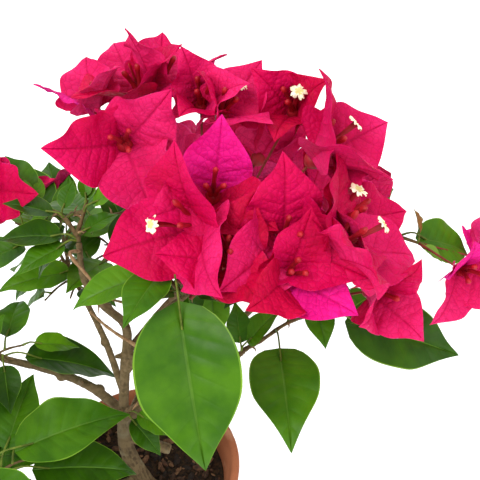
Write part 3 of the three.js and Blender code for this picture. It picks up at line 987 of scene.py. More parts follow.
def rough(places: Array, scale: float, octaves: int = 3) -> Array:
    """Smooth seeded noise at some places.

    Args:
        places: In millimetres.
        scale: The size of its lumps, in millimetres.
        octaves: How many finer layers it has.

    Returns:
        A number from about -1 to 1 for each place.
    """
    points = places / scale
    return np.array([noise.fractal(Vector(point), 1.0, 2.0, octaves) for point in points])


# ------------------------------------------------------------------ finishes


def linear(colour: Colour) -> tuple[float, float, float, float]:
    """A screen colour, from 0 to 255, as the light that it stands for."""
    shares = [part / 255 for part in colour]
    lights = [part / 12.92 if part <= 0.04045 else ((part + 0.055) / 1.055) ** 2.4 for part in shares]
    return (*lights, 1.0)


class Shader:
    """The nodes of one finish, built up from its object coordinates."""

    def __init__(self, name: str, roughness: float, specular: float) -> None:
        """Start a finish.

        Args:
            name: The material's name.
            roughness: How dull it is where nothing else is linked.
            specular: How strongly it shines.
        """
        self.material = bpy.data.materials.new(name)
        self.material.use_nodes = True
        self.tree = self.material.node_tree
        self.surface = self.tree.nodes["Principled BSDF"]
        self.give("Roughness", roughness)
        self.give("Specular IOR Level", specular)
        self.coordinates = self.node("TexCoord", "Object")

    def give(self, socket: str | int, value: Value, node: bpy.types.Node | None = None) -> None:
        """Set or link one input.

        Args:
            socket: The input.
            value: A value or an output.
            node: Whose input it is, if not the surface's.
        """
        target = (node or self.surface).inputs[socket]
        if isinstance(value, Socket):
            self.tree.links.new(value, target)
        else:
            target.default_value = value

    def node(self, kind: str, output: str | int, inputs: dict | None = None, **settings: str) -> Socket:
        """A new node.

        Args:
            kind: Its type, without ShaderNode.
            output: Which output is wanted.
            inputs: What its inputs are given.
            settings: Its own settings.

        Returns:
            The output.
        """
        node = self.tree.nodes.new("ShaderNode" + kind)
        for name, setting in settings.items():
            setattr(node, name, setting)
        for socket, value in (inputs or {}).items():
            self.give(socket, value, node)
        return node.outputs[output]

    def mark(self, name: str, output: str = "Fac") -> Socket:
        """What a mesh's places are marked with under a name."""
        return self.node("Attribute", output, attribute_name=name)

    def noise(self, scale: float, detail: float = 3) -> Socket:
        """Smooth noise.

        Args:
            scale: Lumps to a metre.
            detail: Finer layers.

        Returns:
            A factor from 0 to 1.
        """
        return self.node("TexNoise", "Fac", {"Scale": scale, "Detail": detail, "Vector": self.coordinates})

    def net(self, scale: float, vector: Socket | None = None) -> Socket:
        """How far a place is from the nearest line of an irregular net.

        Args:
            scale: Cells to a unit.
            vector: What the net is laid out by, if not the object.

        Returns:
            The distance, in cells.
        """
        inputs = {"Scale": scale, "Vector": vector or self.coordinates}
        return self.node("TexVoronoi", "Distance", inputs, feature="DISTANCE_TO_EDGE")

    def spread(self, source: Socket, low: float, high: float, start: float = 0, end: float = 1) -> Socket:
        """A factor stretched from low..high to start..end and held there.

        Args:
            source: The factor.
            low: Where it starts to change.
            high: Where it stops.
            start: What it is below low.
            end: What it is above high.

        Returns:
            The new factor.
        """
        inputs = {"Value": source, "From Min": low, "From Max": high, "To Min": start, "To Max": end}
        return self.node("MapRange", "Result", inputs)

    def patches(self, scale: float, detail: float, *span: float) -> Socket:
        """Smooth noise, stretched.

        Args:
            scale: Lumps to a metre.
            detail: Finer layers.
            span: Low, high, start and end.

        Returns:
            The factor.
        """
        return self.spread(self.noise(scale, detail), *span)

    def blend(self, factor: Socket, low: Socket | Colour, high: Socket | Colour) -> Socket:
        """A colour between two others.

        Args:
            factor: 0 for the first and 1 for the second.
            low: The first.
            high: The second.

        Returns:
            The colour.
        """
        ends = [colour if isinstance(colour, Socket) else linear(colour) for colour in (low, high)]
        return self.node("Mix", 2, {0: factor, 6: ends[0], 7: ends[1]}, data_type="RGBA")

    def bump(self, height: Socket, depth: float, under: Socket | None = None) -> Socket:
        """Fine relief in the way the surface faces.

        Args:
            height: A factor.
            depth: Its depth in millimetres.
            under: Relief that this one lies on.

        Returns:
            The normal.
        """
        inputs = {"Distance": depth * MM, "Height": height}
        if under:
            inputs["Normal"] = under
        return self.node("Bump", "Normal", inputs)

    def grain(self, *layers: Row, under: Socket | None = None) -> None:
        """Lay fine relief on the surface.

        Args:
            layers: The scale, detail and depth of each, from the lowest up.
            under: Relief that they lie on.
        """
        for scale, detail, depth in layers:
            under = self.bump(self.noise(scale, detail), depth, under)
        self.give("Normal", under)


@dataclass(frozen=True)
class Finish:
    """A named finish between two colours, with a roughness and a shine of its own."""

    name: str
    low: Colour
    high: Colour

    def dress(self, shader: Shader) -> None:
        """Lay the finish's nodes out in a shader."""
        raise NotImplementedError

    def material(self) -> Material:
        """The finish as a material."""
        shader = Shader(self.name, self.roughness, self.shine)
        self.dress(shader)
        return shader.material


@dataclass(frozen=True)
class LeafFinish(Finish):
    """The satin green of a leaf, mottled, with finer veins than its relief has."""

    vein: Colour
    roughness: float = 0.42
    shine: float = 0.16

    def dress(self, shader: Shader) -> None:
        """Lay the mottled blade, its net of veins and its ribs out."""
        blade = shader.blend(shader.patches(70, 3, 0.35, 0.65), self.low, self.high)
        veins = shader.spread(shader.net(330), 0.0, 0.06, 0.07, 0)
        fine = shader.blend(veins, blade, self.vein)
        ribs = shader.spread(shader.mark("vein"), 0.4, 1, 0, 0.2)
        shader.give("Base Color", shader.blend(ribs, fine, self.vein))
        dull = (self.roughness - 0.07, self.roughness + 0.1)
        shader.give("Roughness", shader.patches(160, 3, 0.3, 0.7, *dull))
        shader.give("Normal", shader.bump(veins, -0.1, shader.bump(shader.noise(1400, 2), 0.05)))


@dataclass(frozen=True)
class BractFinish(Finish):
    """Thin papery bract, crinkled and netted with veins; the darker veins are partly painted shade."""

    # Darker colour along the veins: partly their own colour, mostly painted shade in the grooves between the
    # puffed cells.
    vein: Colour
    glow: float = 0.3
    cell: float = 2.6  # millimetres between the veins of the net
    fine_cell: float = 1.1
    roughness: float = 0.6
    shine: float = 0.08

    def dress(self, shader: Shader) -> None:
        """Lay the paper and its two nets of veins and ribs out, with painted shade along the veins."""
        flat = shader.mark("flat", "Vector")
        paper = shader.blend(shader.patches(38, 3, 0.36, 0.64), self.low, self.high)
        cells = shader.net(1 / self.cell, flat)
        # Darker along the net's lines and the ribs: painted shade in the vein grooves, partly the veins' own
        # colour.
        lines = shader.spread(cells, 0.0, 0.07, 0.42, 0)
        fine = shader.spread(shader.net(1 / self.fine_cell, flat), 0.0, 0.08, 0.12, 0)
        netted = shader.blend(lines, shader.blend(fine, paper, self.vein), self.vein)
        ribs = shader.spread(shader.mark("vein"), 0.3, 1, 0, 0.5)
        shader.give("Base Color", shader.blend(ribs, netted, self.vein))
        shader.grain((900, 2, 0.06), under=shader.bump(shader.spread(cells, 0.0, 0.35), 0.22))
        shader.give("Subsurface Weight", self.glow)
        shader.give("Subsurface Radius", (0.003, 0.0006, 0.001))


@dataclass(frozen=True)
class PlainFinish(Finish):
    """A finish of two mottled colours and fine grain, for the small parts.

    Scale is lumps to a metre, and grain is the depth of the finest relief in millimetres.
    """

    scale: float = 300
    roughness: float = 0.6
    grain: float = 0.08
    shine: float = 0.4

    def dress(self, shader: Shader) -> None:
        """Lay the two colours and the grain out."""
        mottled = shader.patches(self.scale, 3, 0.35, 0.65)
        shader.give("Base Color", shader.blend(mottled, self.low, self.high))
        dull = (self.roughness - 0.08, self.roughness + 0.08)
        shader.give("Roughness", shader.patches(self.scale * 2, 3, 0.3, 0.7, *dull))
        shader.grain((self.scale * 4, 4, self.grain))


@dataclass(frozen=True)
class BarkFinish(Finish):
    """Old wood: brown furrows between grey-brown ridges, turning olive on younger wood."""

    name: str = "old_bark"
    low: Colour = (44, 32, 20)
    high: Colour = (116, 98, 68)
    young: Colour = (88, 74, 44)
    lichen: Colour = (132, 122, 94)
    roughness: float = 0.82
    shine: float = 0.25

    def dress(self, shader: Shader) -> None:
        """Lay the old bark with its lichen, and the young, out by their marks."""
        old = shader.blend(shader.spread(shader.mark("height"), 0.2, 0.8), self.low, self.high)
        old = shader.blend(shader.patches(110, 5, 0.52, 0.66, 0, 0.6), old, self.lichen)
        young = shader.blend(shader.patches(420, 4, 0.38, 0.62), self.young, self.high)
        shader.give("Base Color", shader.blend(shader.spread(shader.mark("age"), 0.1, 0.75), young, old))
        shader.grain((700, 5, 0.4), (2600, 3, 0.12))


@dataclass(frozen=True)
class ClayFinish(Finish):
    """Fired clay: warm, dusty and speckled, with a pale bloom of lime."""

    name: str = "terracotta_clay"
    low: Colour = (130, 72, 44)
    high: Colour = (170, 104, 70)
    lime: Colour = (196, 150, 120)
    speck: Colour = (92, 50, 32)
    roughness: float = 0.86
    shine: float = 0.25

    def dress(self, shader: Shader) -> None:
        """Lay the clay, its lime and its specks out."""
        clay = shader.blend(shader.patches(28, 5, 0.35, 0.66), self.low, self.high)
        clay = shader.blend(shader.patches(62, 7, 0.56, 0.72, 0, 0.55), clay, self.lime)
        shader.give("Base Color", shader.blend(shader.patches(1500, 2, 0.66, 0.74, 0, 0.7), clay, self.speck))
        shader.grain((420, 5, 0.14), (2400, 3, 0.05))


@dataclass(frozen=True)
class EarthFinish(Finish):
    """Damp dark potting soil."""

    name: str = "damp_soil"
    low: Colour = (22, 13, 7)
    high: Colour = (60, 40, 22)
    roughness: float = 0.95
    shine: float = 0.3

    def dress(self, shader: Shader) -> None:
        """Lay the lumpy soil out."""
        shader.give("Base Color", shader.blend(shader.patches(520, 6, 0.36, 0.68), self.low, self.high))
        shader.grain((1300, 5, 0.5))


# ------------------------------------------------------------------ blades


@dataclass(frozen=True)
class Relief:
    """How a blade's fine skin stands off its plain form, as shares of its length."""

    thick: float
    puff: float
    groove: float
    rib: float
    wave: float
    twist: float  # degrees
    cup: float
    hook: float
    broad: float  # how much broader than the plain blade
    point: float  # how much narrower near the tip
    heart: float = 0  # how much broader at the very base
    crinkle: float = 0  # millimetres
    cell: float = 4.4  # millimetres between the veins of the net


LEAF_RELIEF = Relief(
    thick=0.008, puff=0.007, groove=0.005, rib=0.008, wave=0.018, twist=9, cup=0.16, hook=0.05,
    broad=1.0, point=0.44,
)
BRACT_RELIEF = Relief(
    thick=0.008, puff=0.012, groove=0.008, rib=0.006, wave=0.055, twist=14, cup=0.5, hook=0.1,
    broad=1.1, point=0.4, heart=1.1, crinkle=0.3,
)


@dataclass
class BladeWeave:
    """The grid of a blade's fine skin, with rows that follow its side veins to the tip.

    Veins are where the side veins leave the midrib, sweep is how far they run towards the
    tip, between is the rows between two of them, columns run from midrib to margin, and
    near is how far the rows beside a vein are from it.
    """

    veins: Sequence[float]
    sweep: float
    between: int
    columns: Sequence[float]
    near: float = 0.011

    BLADE, MIDRIB, MARGIN, UNDER = range(4)
    TOP_ROW, EDGE_PUFF, RIB_REACH, EASE = 0.95, 0.45, 0.09, 0.16

    def __post_init__(self) -> None:
        """Work out the rows, columns and faces."""
        self.rows, self.puffs, self.lines = self.laid_rows()
        side = np.array(self.columns)
        self.across = np.concatenate([-side[::-1], side[1:]])
        row, column = np.meshgrid(self.rows, self.across, indexing="ij")
        self.share = row + self.sweep * np.abs(column) * row**0.7 * (1 - row)
        self.column = column
        self.weave()

    def laid_rows(self) -> tuple[Array, Array, Array]:
        """The rows from base to tip, how far each is puffed, and which lie on a vein."""
        rows, puffs, lines = [0.02, 0.05], [0.0, 0.3], [0.0, 0.0]
        ends = [*self.veins[1:], self.TOP_ROW]
        for vein, following in zip(self.veins, ends):
            rows += [vein - self.near, vein, vein + self.near]
            puffs += [self.EDGE_PUFF, 0.0, self.EDGE_PUFF]
            lines += [0.0, 1.0, 0.0]
            steps = np.linspace(vein + self.near, following - self.near, self.between + 2)[1:-1]
            shares = (steps - vein) / (following - vein)
            rows += list(steps)
            puffs += list(self.EDGE_PUFF + (1 - self.EDGE_PUFF) * np.sin(math.pi * shares))
            lines += [0.0] * self.between
        rows += [self.TOP_ROW, 0.975, 0.99]
        puffs += [0.3, 0.1, 0.0]
        lines += [0.0] * 3
        return np.array(rows), np.array(puffs), np.array(lines)

    def weave(self) -> None:
        """Number the faces of both sides, which share their margins and ends."""
        count, width = self.share.shape
        top = 2 + np.arange(count * width).reshape(count, width)
        under = top.copy()
        inner = np.arange(count * (width - 2)).reshape(count, width - 2)
        under[:, 1:-1] = 2 + count * width + inner
        middles = np.abs(self.across[1:] + self.across[:-1]) / 2
        bands = np.full(width - 1, self.BLADE)
        bands[middles < self.columns[1]] = self.MIDRIB
        bands[middles > self.columns[-2]] = self.MARGIN
        quads, triangles = [], []
        for side, turn in ((top, 1), (under, -1)):
            four = np.stack([side[:-1, :-1], side[1:, :-1], side[1:, 1:], side[:-1, 1:]], -1)
            quads.append(four.reshape(-1, 4)[:, ::turn])
            base, tip = np.zeros(width - 1, int), np.ones(width - 1, int)
            for three in ([base, side[0, :-1], side[0, 1:]], [side[-1, :-1], tip, side[-1, 1:]]):
                triangles.append(np.stack(three, 1)[:, ::turn])
        self.quads, self.triangles = np.vstack(quads), np.vstack(triangles)
        under_bands = np.where(bands == self.MIDRIB, self.MIDRIB, self.UNDER)
        self.quad_slots = np.concatenate([np.tile(bands, count - 1), np.tile(under_bands, count - 1)])
        plain, below = np.full(width - 1, self.BLADE), np.full(width - 1, self.UNDER)
        self.triangle_slots = np.concatenate([plain, plain, below, below])

    def lay(self, blade: Blade, relief: Relief, draws: Draws, slots: Row) -> tuple[Skin, Array, Array]:
        """Lay the skin over one blade, with whims of its own.

        Args:
            blade: The plain blade.
            relief: How the skin stands off it.
            draws: Where the whims come from.
            slots: The slots of blade, midrib, margin and underside.

        Returns:
            The skin, how much each place lies on a vein, and its flat place.
        """
        share, across = self.share, self.column
        side, length = np.abs(across), blade.length
        near_tip = np.clip((share - 0.5) / 0.5, 0, 1)
        near_base = np.clip(1 - share / 0.3, 0, 1)
        spread = relief.broad * (1 - relief.point * near_tip**2 * (3 - 2 * near_tip))
        spread = across * (spread + relief.heart * near_base)
        half = blade.half_width(share) * spread
        counts, phases = draws.uniform(1.6, 3.2, 2), draws.uniform(0, 2 * math.pi, 2)
        which = (across > 0).astype(int)
        swell = np.sin(2 * math.pi * counts[which] * share + phases[which])
        calm = np.clip(4 * share * (1 - share), 0, 1)
        wave = relief.wave * draws.uniform(0.5, 1.4) * length * swell * side**2 * calm
        twist = half * math.tan(math.radians(draws.normal(0, relief.twist * 0.6))) * (share - 0.2)
        cup = relief.cup * draws.uniform(-0.6, 1) * half**2 / (length * 0.3) * 0.5
        hook = -relief.hook * draws.uniform(-0.3, 1.4) * length * np.clip((share - 0.7) / 0.3, 0, 1) ** 2
        ease = np.minimum(1, side / self.EASE) * (1 - side**3)
        on_rib = np.clip(1 - side / self.RIB_REACH, 0, 1)
        puff = relief.puff * length * self.puffs[:, None] * ease
        groove = -relief.groove * length * on_rib
        out = wave + twist + cup + hook + puff + groove
        flat = np.stack([share * length, half, np.full_like(share, draws.uniform(0, 900))], -1)
        if relief.crinkle:
            out = out + relief.crinkle * self.crinkled(flat, relief.cell, draws) * (1 - side**6)
        thick = relief.thick * length * np.sqrt(1 - side**2)
        rib = relief.rib * length * on_rib * (1 - share)
        top = blade.place(share, spread, out)
        below = blade.place(share, spread, out - thick - rib)[:, 1:-1]
        ends = blade.place(np.array([0.0, 1.0]), np.zeros(2), np.array([0.0, out[-1].mean()]))
        places = np.vstack([ends, top.reshape(-1, 3), below.reshape(-1, 3)])
        vein = self.lines[:, None] * (1 - 0.7 * side**2) * np.minimum(1, side / 0.05)
        vein = np.maximum(vein, 0.9 * (side <= self.columns[1]))
        marks = np.concatenate([[0, 0], vein.ravel(), vein[:, 1:-1].ravel()])
        laid = np.vstack([flat[0, :1], flat[-1, :1], flat.reshape(-1, 3), flat[:, 1:-1].reshape(-1, 3)])
        picked = np.array(slots)
        quad_slots, triangle_slots = picked[self.quad_slots], picked[self.triangle_slots]
        return Skin(places, self.quads, self.triangles, quad_slots, triangle_slots), marks, laid

    @staticmethod
    def crinkled(flat: Array, cell: float, draws: Draws) -> Array:
        """How far the paper is puffed between the veins of a jittered net.

        Args:
            flat: Flat places in millimetres.
            cell: The net's spacing.
            draws: Where the jitter comes from.

        Returns:
            From 0 on a vein to 1 well inside a cell.
        """
        points = flat[..., :2]
        low, high = points.min(axis=(0, 1)) - cell, points.max(axis=(0, 1)) + cell
        grid = np.stack(np.meshgrid(*(np.arange(a, b, cell) for a, b in zip(low, high))), -1)
        knots = grid.reshape(-1, 2) + draws.uniform(-0.45, 0.45, (grid.size // 2, 2)) * cell
        away = np.linalg.norm(points[:, :, None] - knots, axis=-1)
        nearest = np.partition(away, 1, axis=-1)
        return np.clip((nearest[..., 1] - nearest[..., 0]) / (0.6 * cell), 0, 1)


FINE_LEAF = BladeWeave(
    veins=(0.09, 0.18, 0.28, 0.39, 0.51, 0.64, 0.78),
    sweep=0.5,
    between=2,
    columns=(0, 0.03, 0.1, 0.22, 0.38, 0.56, 0.74, 0.88, 0.965, 1),
)
PLAIN_LEAF = BladeWeave(
    veins=(0.12, 0.26, 0.42, 0.6, 0.78),
    sweep=0.5,
    between=1,
    columns=(0, 0.035, 0.16, 0.4, 0.68, 0.9, 0.965, 1),
)
PAPER = BladeWeave(
    veins=(0.07, 0.16, 0.27, 0.4, 0.55, 0.72),
    sweep=0.6,
    between=3,
    columns=(0, 0.02, 0.08, 0.17, 0.27, 0.38, 0.5, 0.62, 0.74, 0.85, 0.94, 1),
)


# ------------------------------------------------------------------ the pot


def lathed(line: Array, sides: int) -> Array:
    """Rings of places round the pot's axis.

    Args:
        line: Rows of radius and height.
        sides: How many places are on a ring.

    Returns:
        Rings by places by three.
    """
    turns = round_turns(sides)
    ways = np.stack([np.cos(turns), np.sin(turns)], -1)
    heights = np.broadcast_to(line[:, None, 1:], (len(line), sides, 1))
    return np.concatenate([line[:, None, :1] * ways, heights], -1)


def inside_radius(z: float) -> float:
    """The pot's inside radius at a height: a straight wall that opens faster in the collar."""
    band = Pot.height - Pot.collar
    if z > band:
        return float(np.interp(z, [band, Pot.height - Pot.lip], [Pot.neck, Pot.rim - Pot.wall]))
    return float(np.interp(z, [Pot.floor + Pot.corner, band], [Pot.foot - Pot.wall, Pot.neck]))


@dataclass
class Pot:
    """A thrown terracotta pot with a collar, a rounded lip and three drain holes.

    Lumps, pits and turning marks are a size and a depth, and shrink takes up the most that
    they swell by.
    """

    height: float = POT_TOP
    rim: float = POT_RIM
    foot: float = 36
    neck: float = 46
    wall: float = 5
    floor: float = 7
    collar: float = 20
    step: float = 3
    edge: float = 2
    corner: float = 3
    lip: float = 2.5
    hub: float = 8
    sides: int = 160
    drains: int = 3
    drain_radius: float = 4.5
    drain_circle: float = 17
    lumps: Row = (26, 0.35)
    pits: Row = (5, 0.09)
    turning: Row = (1.9, 0.05)
    shrink: float = 0.12

    def profile(self) -> Array:
        """Radius and height from the axis out, up the wall, over the lip and down the inside."""
        band, lip_level = self.height - self.collar, self.height - self.lip
        inner = [[inside_radius(z), z] for z in (band, self.floor + self.corner)]
        over = [
            [self.rim - self.lip + self.lip * math.cos(bend), lip_level + self.lip * math.sin(bend)]
            for bend in np.linspace(0, math.pi, 9)
        ]
        corners = [
            [self.hub, 0],
            [self.foot - self.edge, 0],
            [self.foot, self.edge],
            [self.rim - self.step - self.edge, band - self.edge],
            [self.rim - self.edge, band],
            *over,
            *inner,
            [inner[1][0] - self.corner, self.floor],
            [self.hub, self.floor],
        ]
        return self.stepped(np.array(corners))

    @staticmethod
    def stepped(corners: Array, step: float = 2.2) -> Array:
        """A line of corners with places between them, and each corner eased."""
        places = []
        for start, end in zip(corners[:-1], corners[1:]):
            count = max(1, round(float(np.linalg.norm(end - start)) / step))
            places += [start + (end - start) * part / count for part in range(count)]
        line = np.array([*places, corners[-1]])
        line[1:-1] = 0.25 * line[:-2] + 0.5 * line[1:-1] + 0.25 * line[2:]
        return line

    def body(self) -> Mesh:
        """The lathed wall with its turning marks and drain holes."""
        line = self.profile()
        rings = lathed(line, self.sides)
        flat = rings.reshape(-1, 3)
        lumps = -self.shrink + sum(rough(flat, size, 2) * depth for size, depth in (self.lumps, self.pits))
        marks = self.turning[1] * np.sin(flat[:, 2] * 2 * math.pi / self.turning[0])
        level = (flat[:, 2] < 1) | (flat[:, 2] > self.height - 1)
        lumps = np.where(level, np.minimum(lumps, 0), lumps)
        flat[:, :2] += unit(flat[:, :2]) * (lumps + marks)[:, None]
        sheaf = Sheaf("clay_pot")
        sheaf.add(lofted(flat.reshape(rings.shape), [0, 0, line[0, 1]], [0, 0, line[-1, 1]]))
        return self.drained(sheaf)

    def drained(self, sheaf: Sheaf) -> Mesh:
        """The wall with its drain holes cut."""
        pot = placed(sheaf.mesh(), [])
        plugs = Sheaf("drain_plugs")
        for index in range(self.drains):
            away = heading(360 * index / self.drains, 0) * self.drain_circle
            path = Path([away - UP * self.floor, away + 2 * UP * self.floor])
            plugs.add(ringed(path, np.array([0.0, 1.0]), np.full(2, self.drain_radius), 28))
        cutter = placed(plugs.mesh(), [])
        cut = pot.modifiers.new("drains", "BOOLEAN")
        cut.operation, cut.object, cut.solver = "DIFFERENCE", cutter, "EXACT"
        mesh = hardened(pot)
        bpy.data.objects.remove(cutter)
        return mesh

    def build(self) -> list[Thing]:
        """The pot's piece."""
        pot = placed(self.body(), [ClayFinish()], 60)
        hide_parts("pot")
        return finished([pot])


@dataclass
class Soil:
    """Lumpy potting soil with bark chips strewn over it.

    Clods and crumbs are a size and a height, and settled is how far they sink together.
    """

    level: float = 85
    fall: float = 3
    flat: float = 28
    gap: float = 0.35
    clods: Row = (9, 1.3)
    crumbs: Row = (2.6, 1.3)
    settled: float = 0.6
    sides: int = 150
    rings: int = 62
    chips: int = 420
    chip_sides: int = 7
    strewn_reach: float = 43.5
    small: Row = (1.0, 2.0)
    large: Row = (2.0, 4.4)

    def height(self, radius: Array) -> Array:
        """The soil's level at some distances from the middle."""
        wall = inside_radius(self.level - self.fall)
        return self.level - self.fall * np.clip((radius - self.flat) / (wall - self.flat), 0, 1)

    def ground(self) -> Thing:
        """The soil itself, from the pot's floor to its lumpy top."""
        bottom = Pot.floor + self.gap
        deep = [(Pot.hub, bottom), (inside_radius(10) - Pot.corner - self.gap, bottom)]
        wall = [(inside_radius(z) - self.gap, z) for z in (10.5, 30, 50, 70, 80, self.level - self.fall)]
        radii = np.linspace(wall[-1][0] - 0.6, 0.7, self.rings)
        line = np.array([*deep, *wall, *zip(radii, self.height(radii))])
        rings = lathed(line, self.sides)
        flat = rings.reshape(-1, 3)
        inner = np.arange(len(flat)) >= (len(deep) + len(wall)) * self.sides
        clods = rough(flat, self.clods[0]) * self.clods[1]
        crumbs = np.abs(rough(flat, self.crumbs[0])) * self.crumbs[1]
        flat[:, 2] += np.where(inner, clods + crumbs - self.settled, 0)
        sheaf = Sheaf("potting_soil")
        sheaf.add(lofted(flat.reshape(rings.shape), [0, 0, line[0, 1]], [0, 0, float(flat[-1, 2])]))
        return sheaf.build([EarthFinish()], 180)

    def strewn(self) -> Thing:
        """Chips of bark and grit that lie on the soil."""
        draws = np.random.default_rng(5)
        sheaf = Sheaf("bark_chips")
        lobes = np.sin(np.linspace(0, math.pi, 8))[1:-1]
        shares = np.linspace(0.06, 0.94, len(lobes))
        for index in range(self.chips):
            reach = self.strewn_reach * math.sqrt(draws.uniform(0.02, 1))
            spot = heading(draws.uniform(0, 360), 0) * reach
            spot[2] = float(self.height(np.array(reach))) + draws.uniform(0.1, 1.1)
            size = draws.uniform(*(self.small if index % 3 else self.large))
            along = heading(draws.uniform(0, 360), draws.uniform(-22, 22))
            path = Path([spot - along * size, spot + along * size])
            girth = size * draws.uniform(0.35, 0.62) * lobes[:, None]
            radii = girth * draws.uniform(0.7, 1.2, (len(lobes), self.chip_sides))
            skin = ringed(path, shares, radii, self.chip_sides, int(draws.integers(0, 4)))
            skin.places[:, 2] = spot[2] + (skin.places[:, 2] - spot[2]) * draws.uniform(0.45, 0.9)
            sheaf.add(skin)
        shades = (
            ("chip_umber", (36, 22, 12), (68, 44, 26), 0.9),
            ("chip_brown", (54, 34, 20), (92, 60, 38), 0.85),
            ("chip_black", (18, 12, 8), (40, 27, 17), 0.9),
            ("chip_tan", (80, 54, 34), (120, 86, 58), 0.85),
        )
        finishes = [PlainFinish(name, low, high, 500, dull, 0.25) for name, low, high, dull in shades]
        return sheaf.build(finishes, 34)

    def build(self) -> list[Thing]:
        """The soil's pieces."""
        ground = self.ground()
        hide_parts("soil")
        return finished([ground, self.strewn()])


# ------------------------------------------------------------------ the wood


@dataclass
class Wood:
    """The trunk and boughs in one skin, eased at the forks, with knots, stubs and furrows.

    Ridges, lumps and rings of the bark are a size and a weight. Stubs are a share of their
    limb, bearing, rise, length and two radii. Knots are a share of their limb and a size.
    """

    plant: Plant
    voxel: float = 0.55
    furrow: float = 0.42
    stretch: float = 0.8
    ridges: Row = (2.3, 0.6)
    lumps: Row = (7.5, 0.5)
    rings: Row = (2.2, 0.25)
    flare: float = 0.7
    flare_height: float = 14
    lobes: int = 5
    lobe_depth: float = 0.22
    stubs: Sequence[tuple[str, Row]] = (
        ("trunk", [0.78, 345, -10, 27, 3.2, 2.7]),
        ("bough_left", [0.45, 300, 50, 7, 1.8, 1.3]),
        ("bough_upright", [0.25, 220, 35, 7, 1.8, 1.2]),
        ("bough_centre", [0.4, 300, 70, 12, 1.7, 1.4]),
    )
    knots: Sequence[tuple[str, Sequence[Row]]] = (
        ("trunk", [[0.3, 4.6], [0.52, 4.3], [0.97, 4.2]]),
        ("bough_left", [[0.27, 3.2], [0.62, 2.9]]),
        ("bough_upright", [[0.27, 3.2], [0.55, 2.6], [0.72, 2.3]]),
        ("bough_centre", [[0.5, 2.4]]),
        ("bough_right", [[0.45, 2.9], [0.75, 2.4]]),
        ("bough_front_left", [[0.4, 2.6]]),
        ("bough_back", [[0.4, 2.9]]),
        ("bough_back_right", [[0.35, 2.7]]),
        ("bough_back_left", [[0.5, 2.5]]),
        ("bough_far_right", [[0.4, 2.3]]),
    )
    knot_shift: float = 0.35

    def limb_skin(self, name: str, limb: Limb) -> Skin:
        """One limb as a closed tube, the trunk with its lobed root flare."""
        shares = np.linspace(0, 1, max(12, round(limb.path.length() / 1.2)))
        turns = round_turns(28)
        radii = np.repeat(limb.radius(shares)[:, None], len(turns), axis=1)
        if name == "trunk":
            heights = limb.path.at(shares)[:, 2:] - Soil.level
            near = np.exp(-np.maximum(0, heights) / self.flare_height)
            radii = radii * (1 + self.flare * near * (1 + self.lobe_depth * np.cos(self.lobes * turns)))
        return ringed(limb.path, shares, radii, len(turns))

    def rough_shape(self) -> Thing:
        """Limbs, knots and stubs, one through another."""
        sheaf = Sheaf("trunk_and_boughs")
        for name, limb in self.plant.limbs.items():
            sheaf.add(self.limb_skin(name, limb))
        for name, (share, bearing, rise, length, start, end) in self.stubs:
            root = self.plant.limbs[name].path.at(share)[0]
            stub = Limb([root, root + heading(bearing, rise) * length], start, end)
            shares = np.linspace(0, 1, 14)
            sheaf.add(ringed(stub.path, shares, stub.radius(shares), 20))
        lobe = np.linspace(0.12, math.pi - 0.12, 11)
        knots = [(self.plant.limbs[name].path, *row) for name, rows in self.knots for row in rows]
        for index, (path, share, size) in enumerate(knots):
            out = square_to(path.tangents(share)[0], heading(GOLDEN * index, 10))
            centre = path.at(share)[0] + out * size * self.knot_shift
            ball = Path([centre - UP * size, centre + UP * size])
            sheaf.add(ringed(ball, (1 - np.cos(lobe)) / 2, size * np.sin(lobe), 18))
        return placed(sheaf.mesh(), [])

    def fused(self) -> Mesh:
        """The rough shape in one skin, eased at the forks."""
        shape = self.rough_shape()
        remesh = shape.modifiers.new("skin", "REMESH")
        remesh.mode, remesh.voxel_size = "VOXEL", self.voxel * MM
        ease = shape.modifiers.new("ease", "SMOOTH")
        ease.factor, ease.iterations = 0.6, 6
        return hardened(shape)

    def barked(self, mesh: Mesh) -> None:
        """Cut the furrows and raise the lumps of the bark, and mark its height and age."""
        places, normals = places_of(mesh) / MM, normals_of(mesh)
        shares = np.linspace(0, 1, 33)
        limbs = self.plant.limbs.values()
        centres = np.vstack([limb.path.at(shares) for limb in limbs])
        ways = np.vstack([limb.path.tangents(shares) for limb in limbs])
        radii = np.concatenate([limb.radius(shares) for limb in limbs])
        nearest = [
            np.argmin(((part[:, None] - centres) ** 2).sum(axis=2) - radii**2, axis=1)
            for part in np.array_split(places, 24)
        ]
        nearest = np.concatenate(nearest)
        way = ways[nearest]
        age = np.clip((radii[nearest] - 1.4) / 3.2, 0, 1)
        along = (places * way).sum(axis=1)[:, None] * way
        ridges = 1 - 2 * np.abs(rough(places - along * self.stretch, self.ridges[0]))
        height = ridges * self.ridges[1] + rough(places, self.lumps[0]) * self.lumps[1]
        height = height + rough(along, self.rings[0], 2) * self.rings[1]
        depth = self.furrow * (0.35 + 0.9 * age)
        moved = places + normals * (height * depth)[:, None]
        mesh.vertices.foreach_set("co", (moved * MM).astype(np.float32).ravel())
        write_mark(mesh, "height", np.clip(0.5 + 0.5 * height, 0, 1))
        write_mark(mesh, "age", age)
        mesh.update()

    def build(self) -> list[Thing]:
        """The piece that stands for the trunk and all the boughs."""
        mesh = self.fused()
        self.barked(mesh)
        wood = placed(mesh, [BarkFinish()], 180)
        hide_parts(*self.plant.limbs)
        return finished([wood])


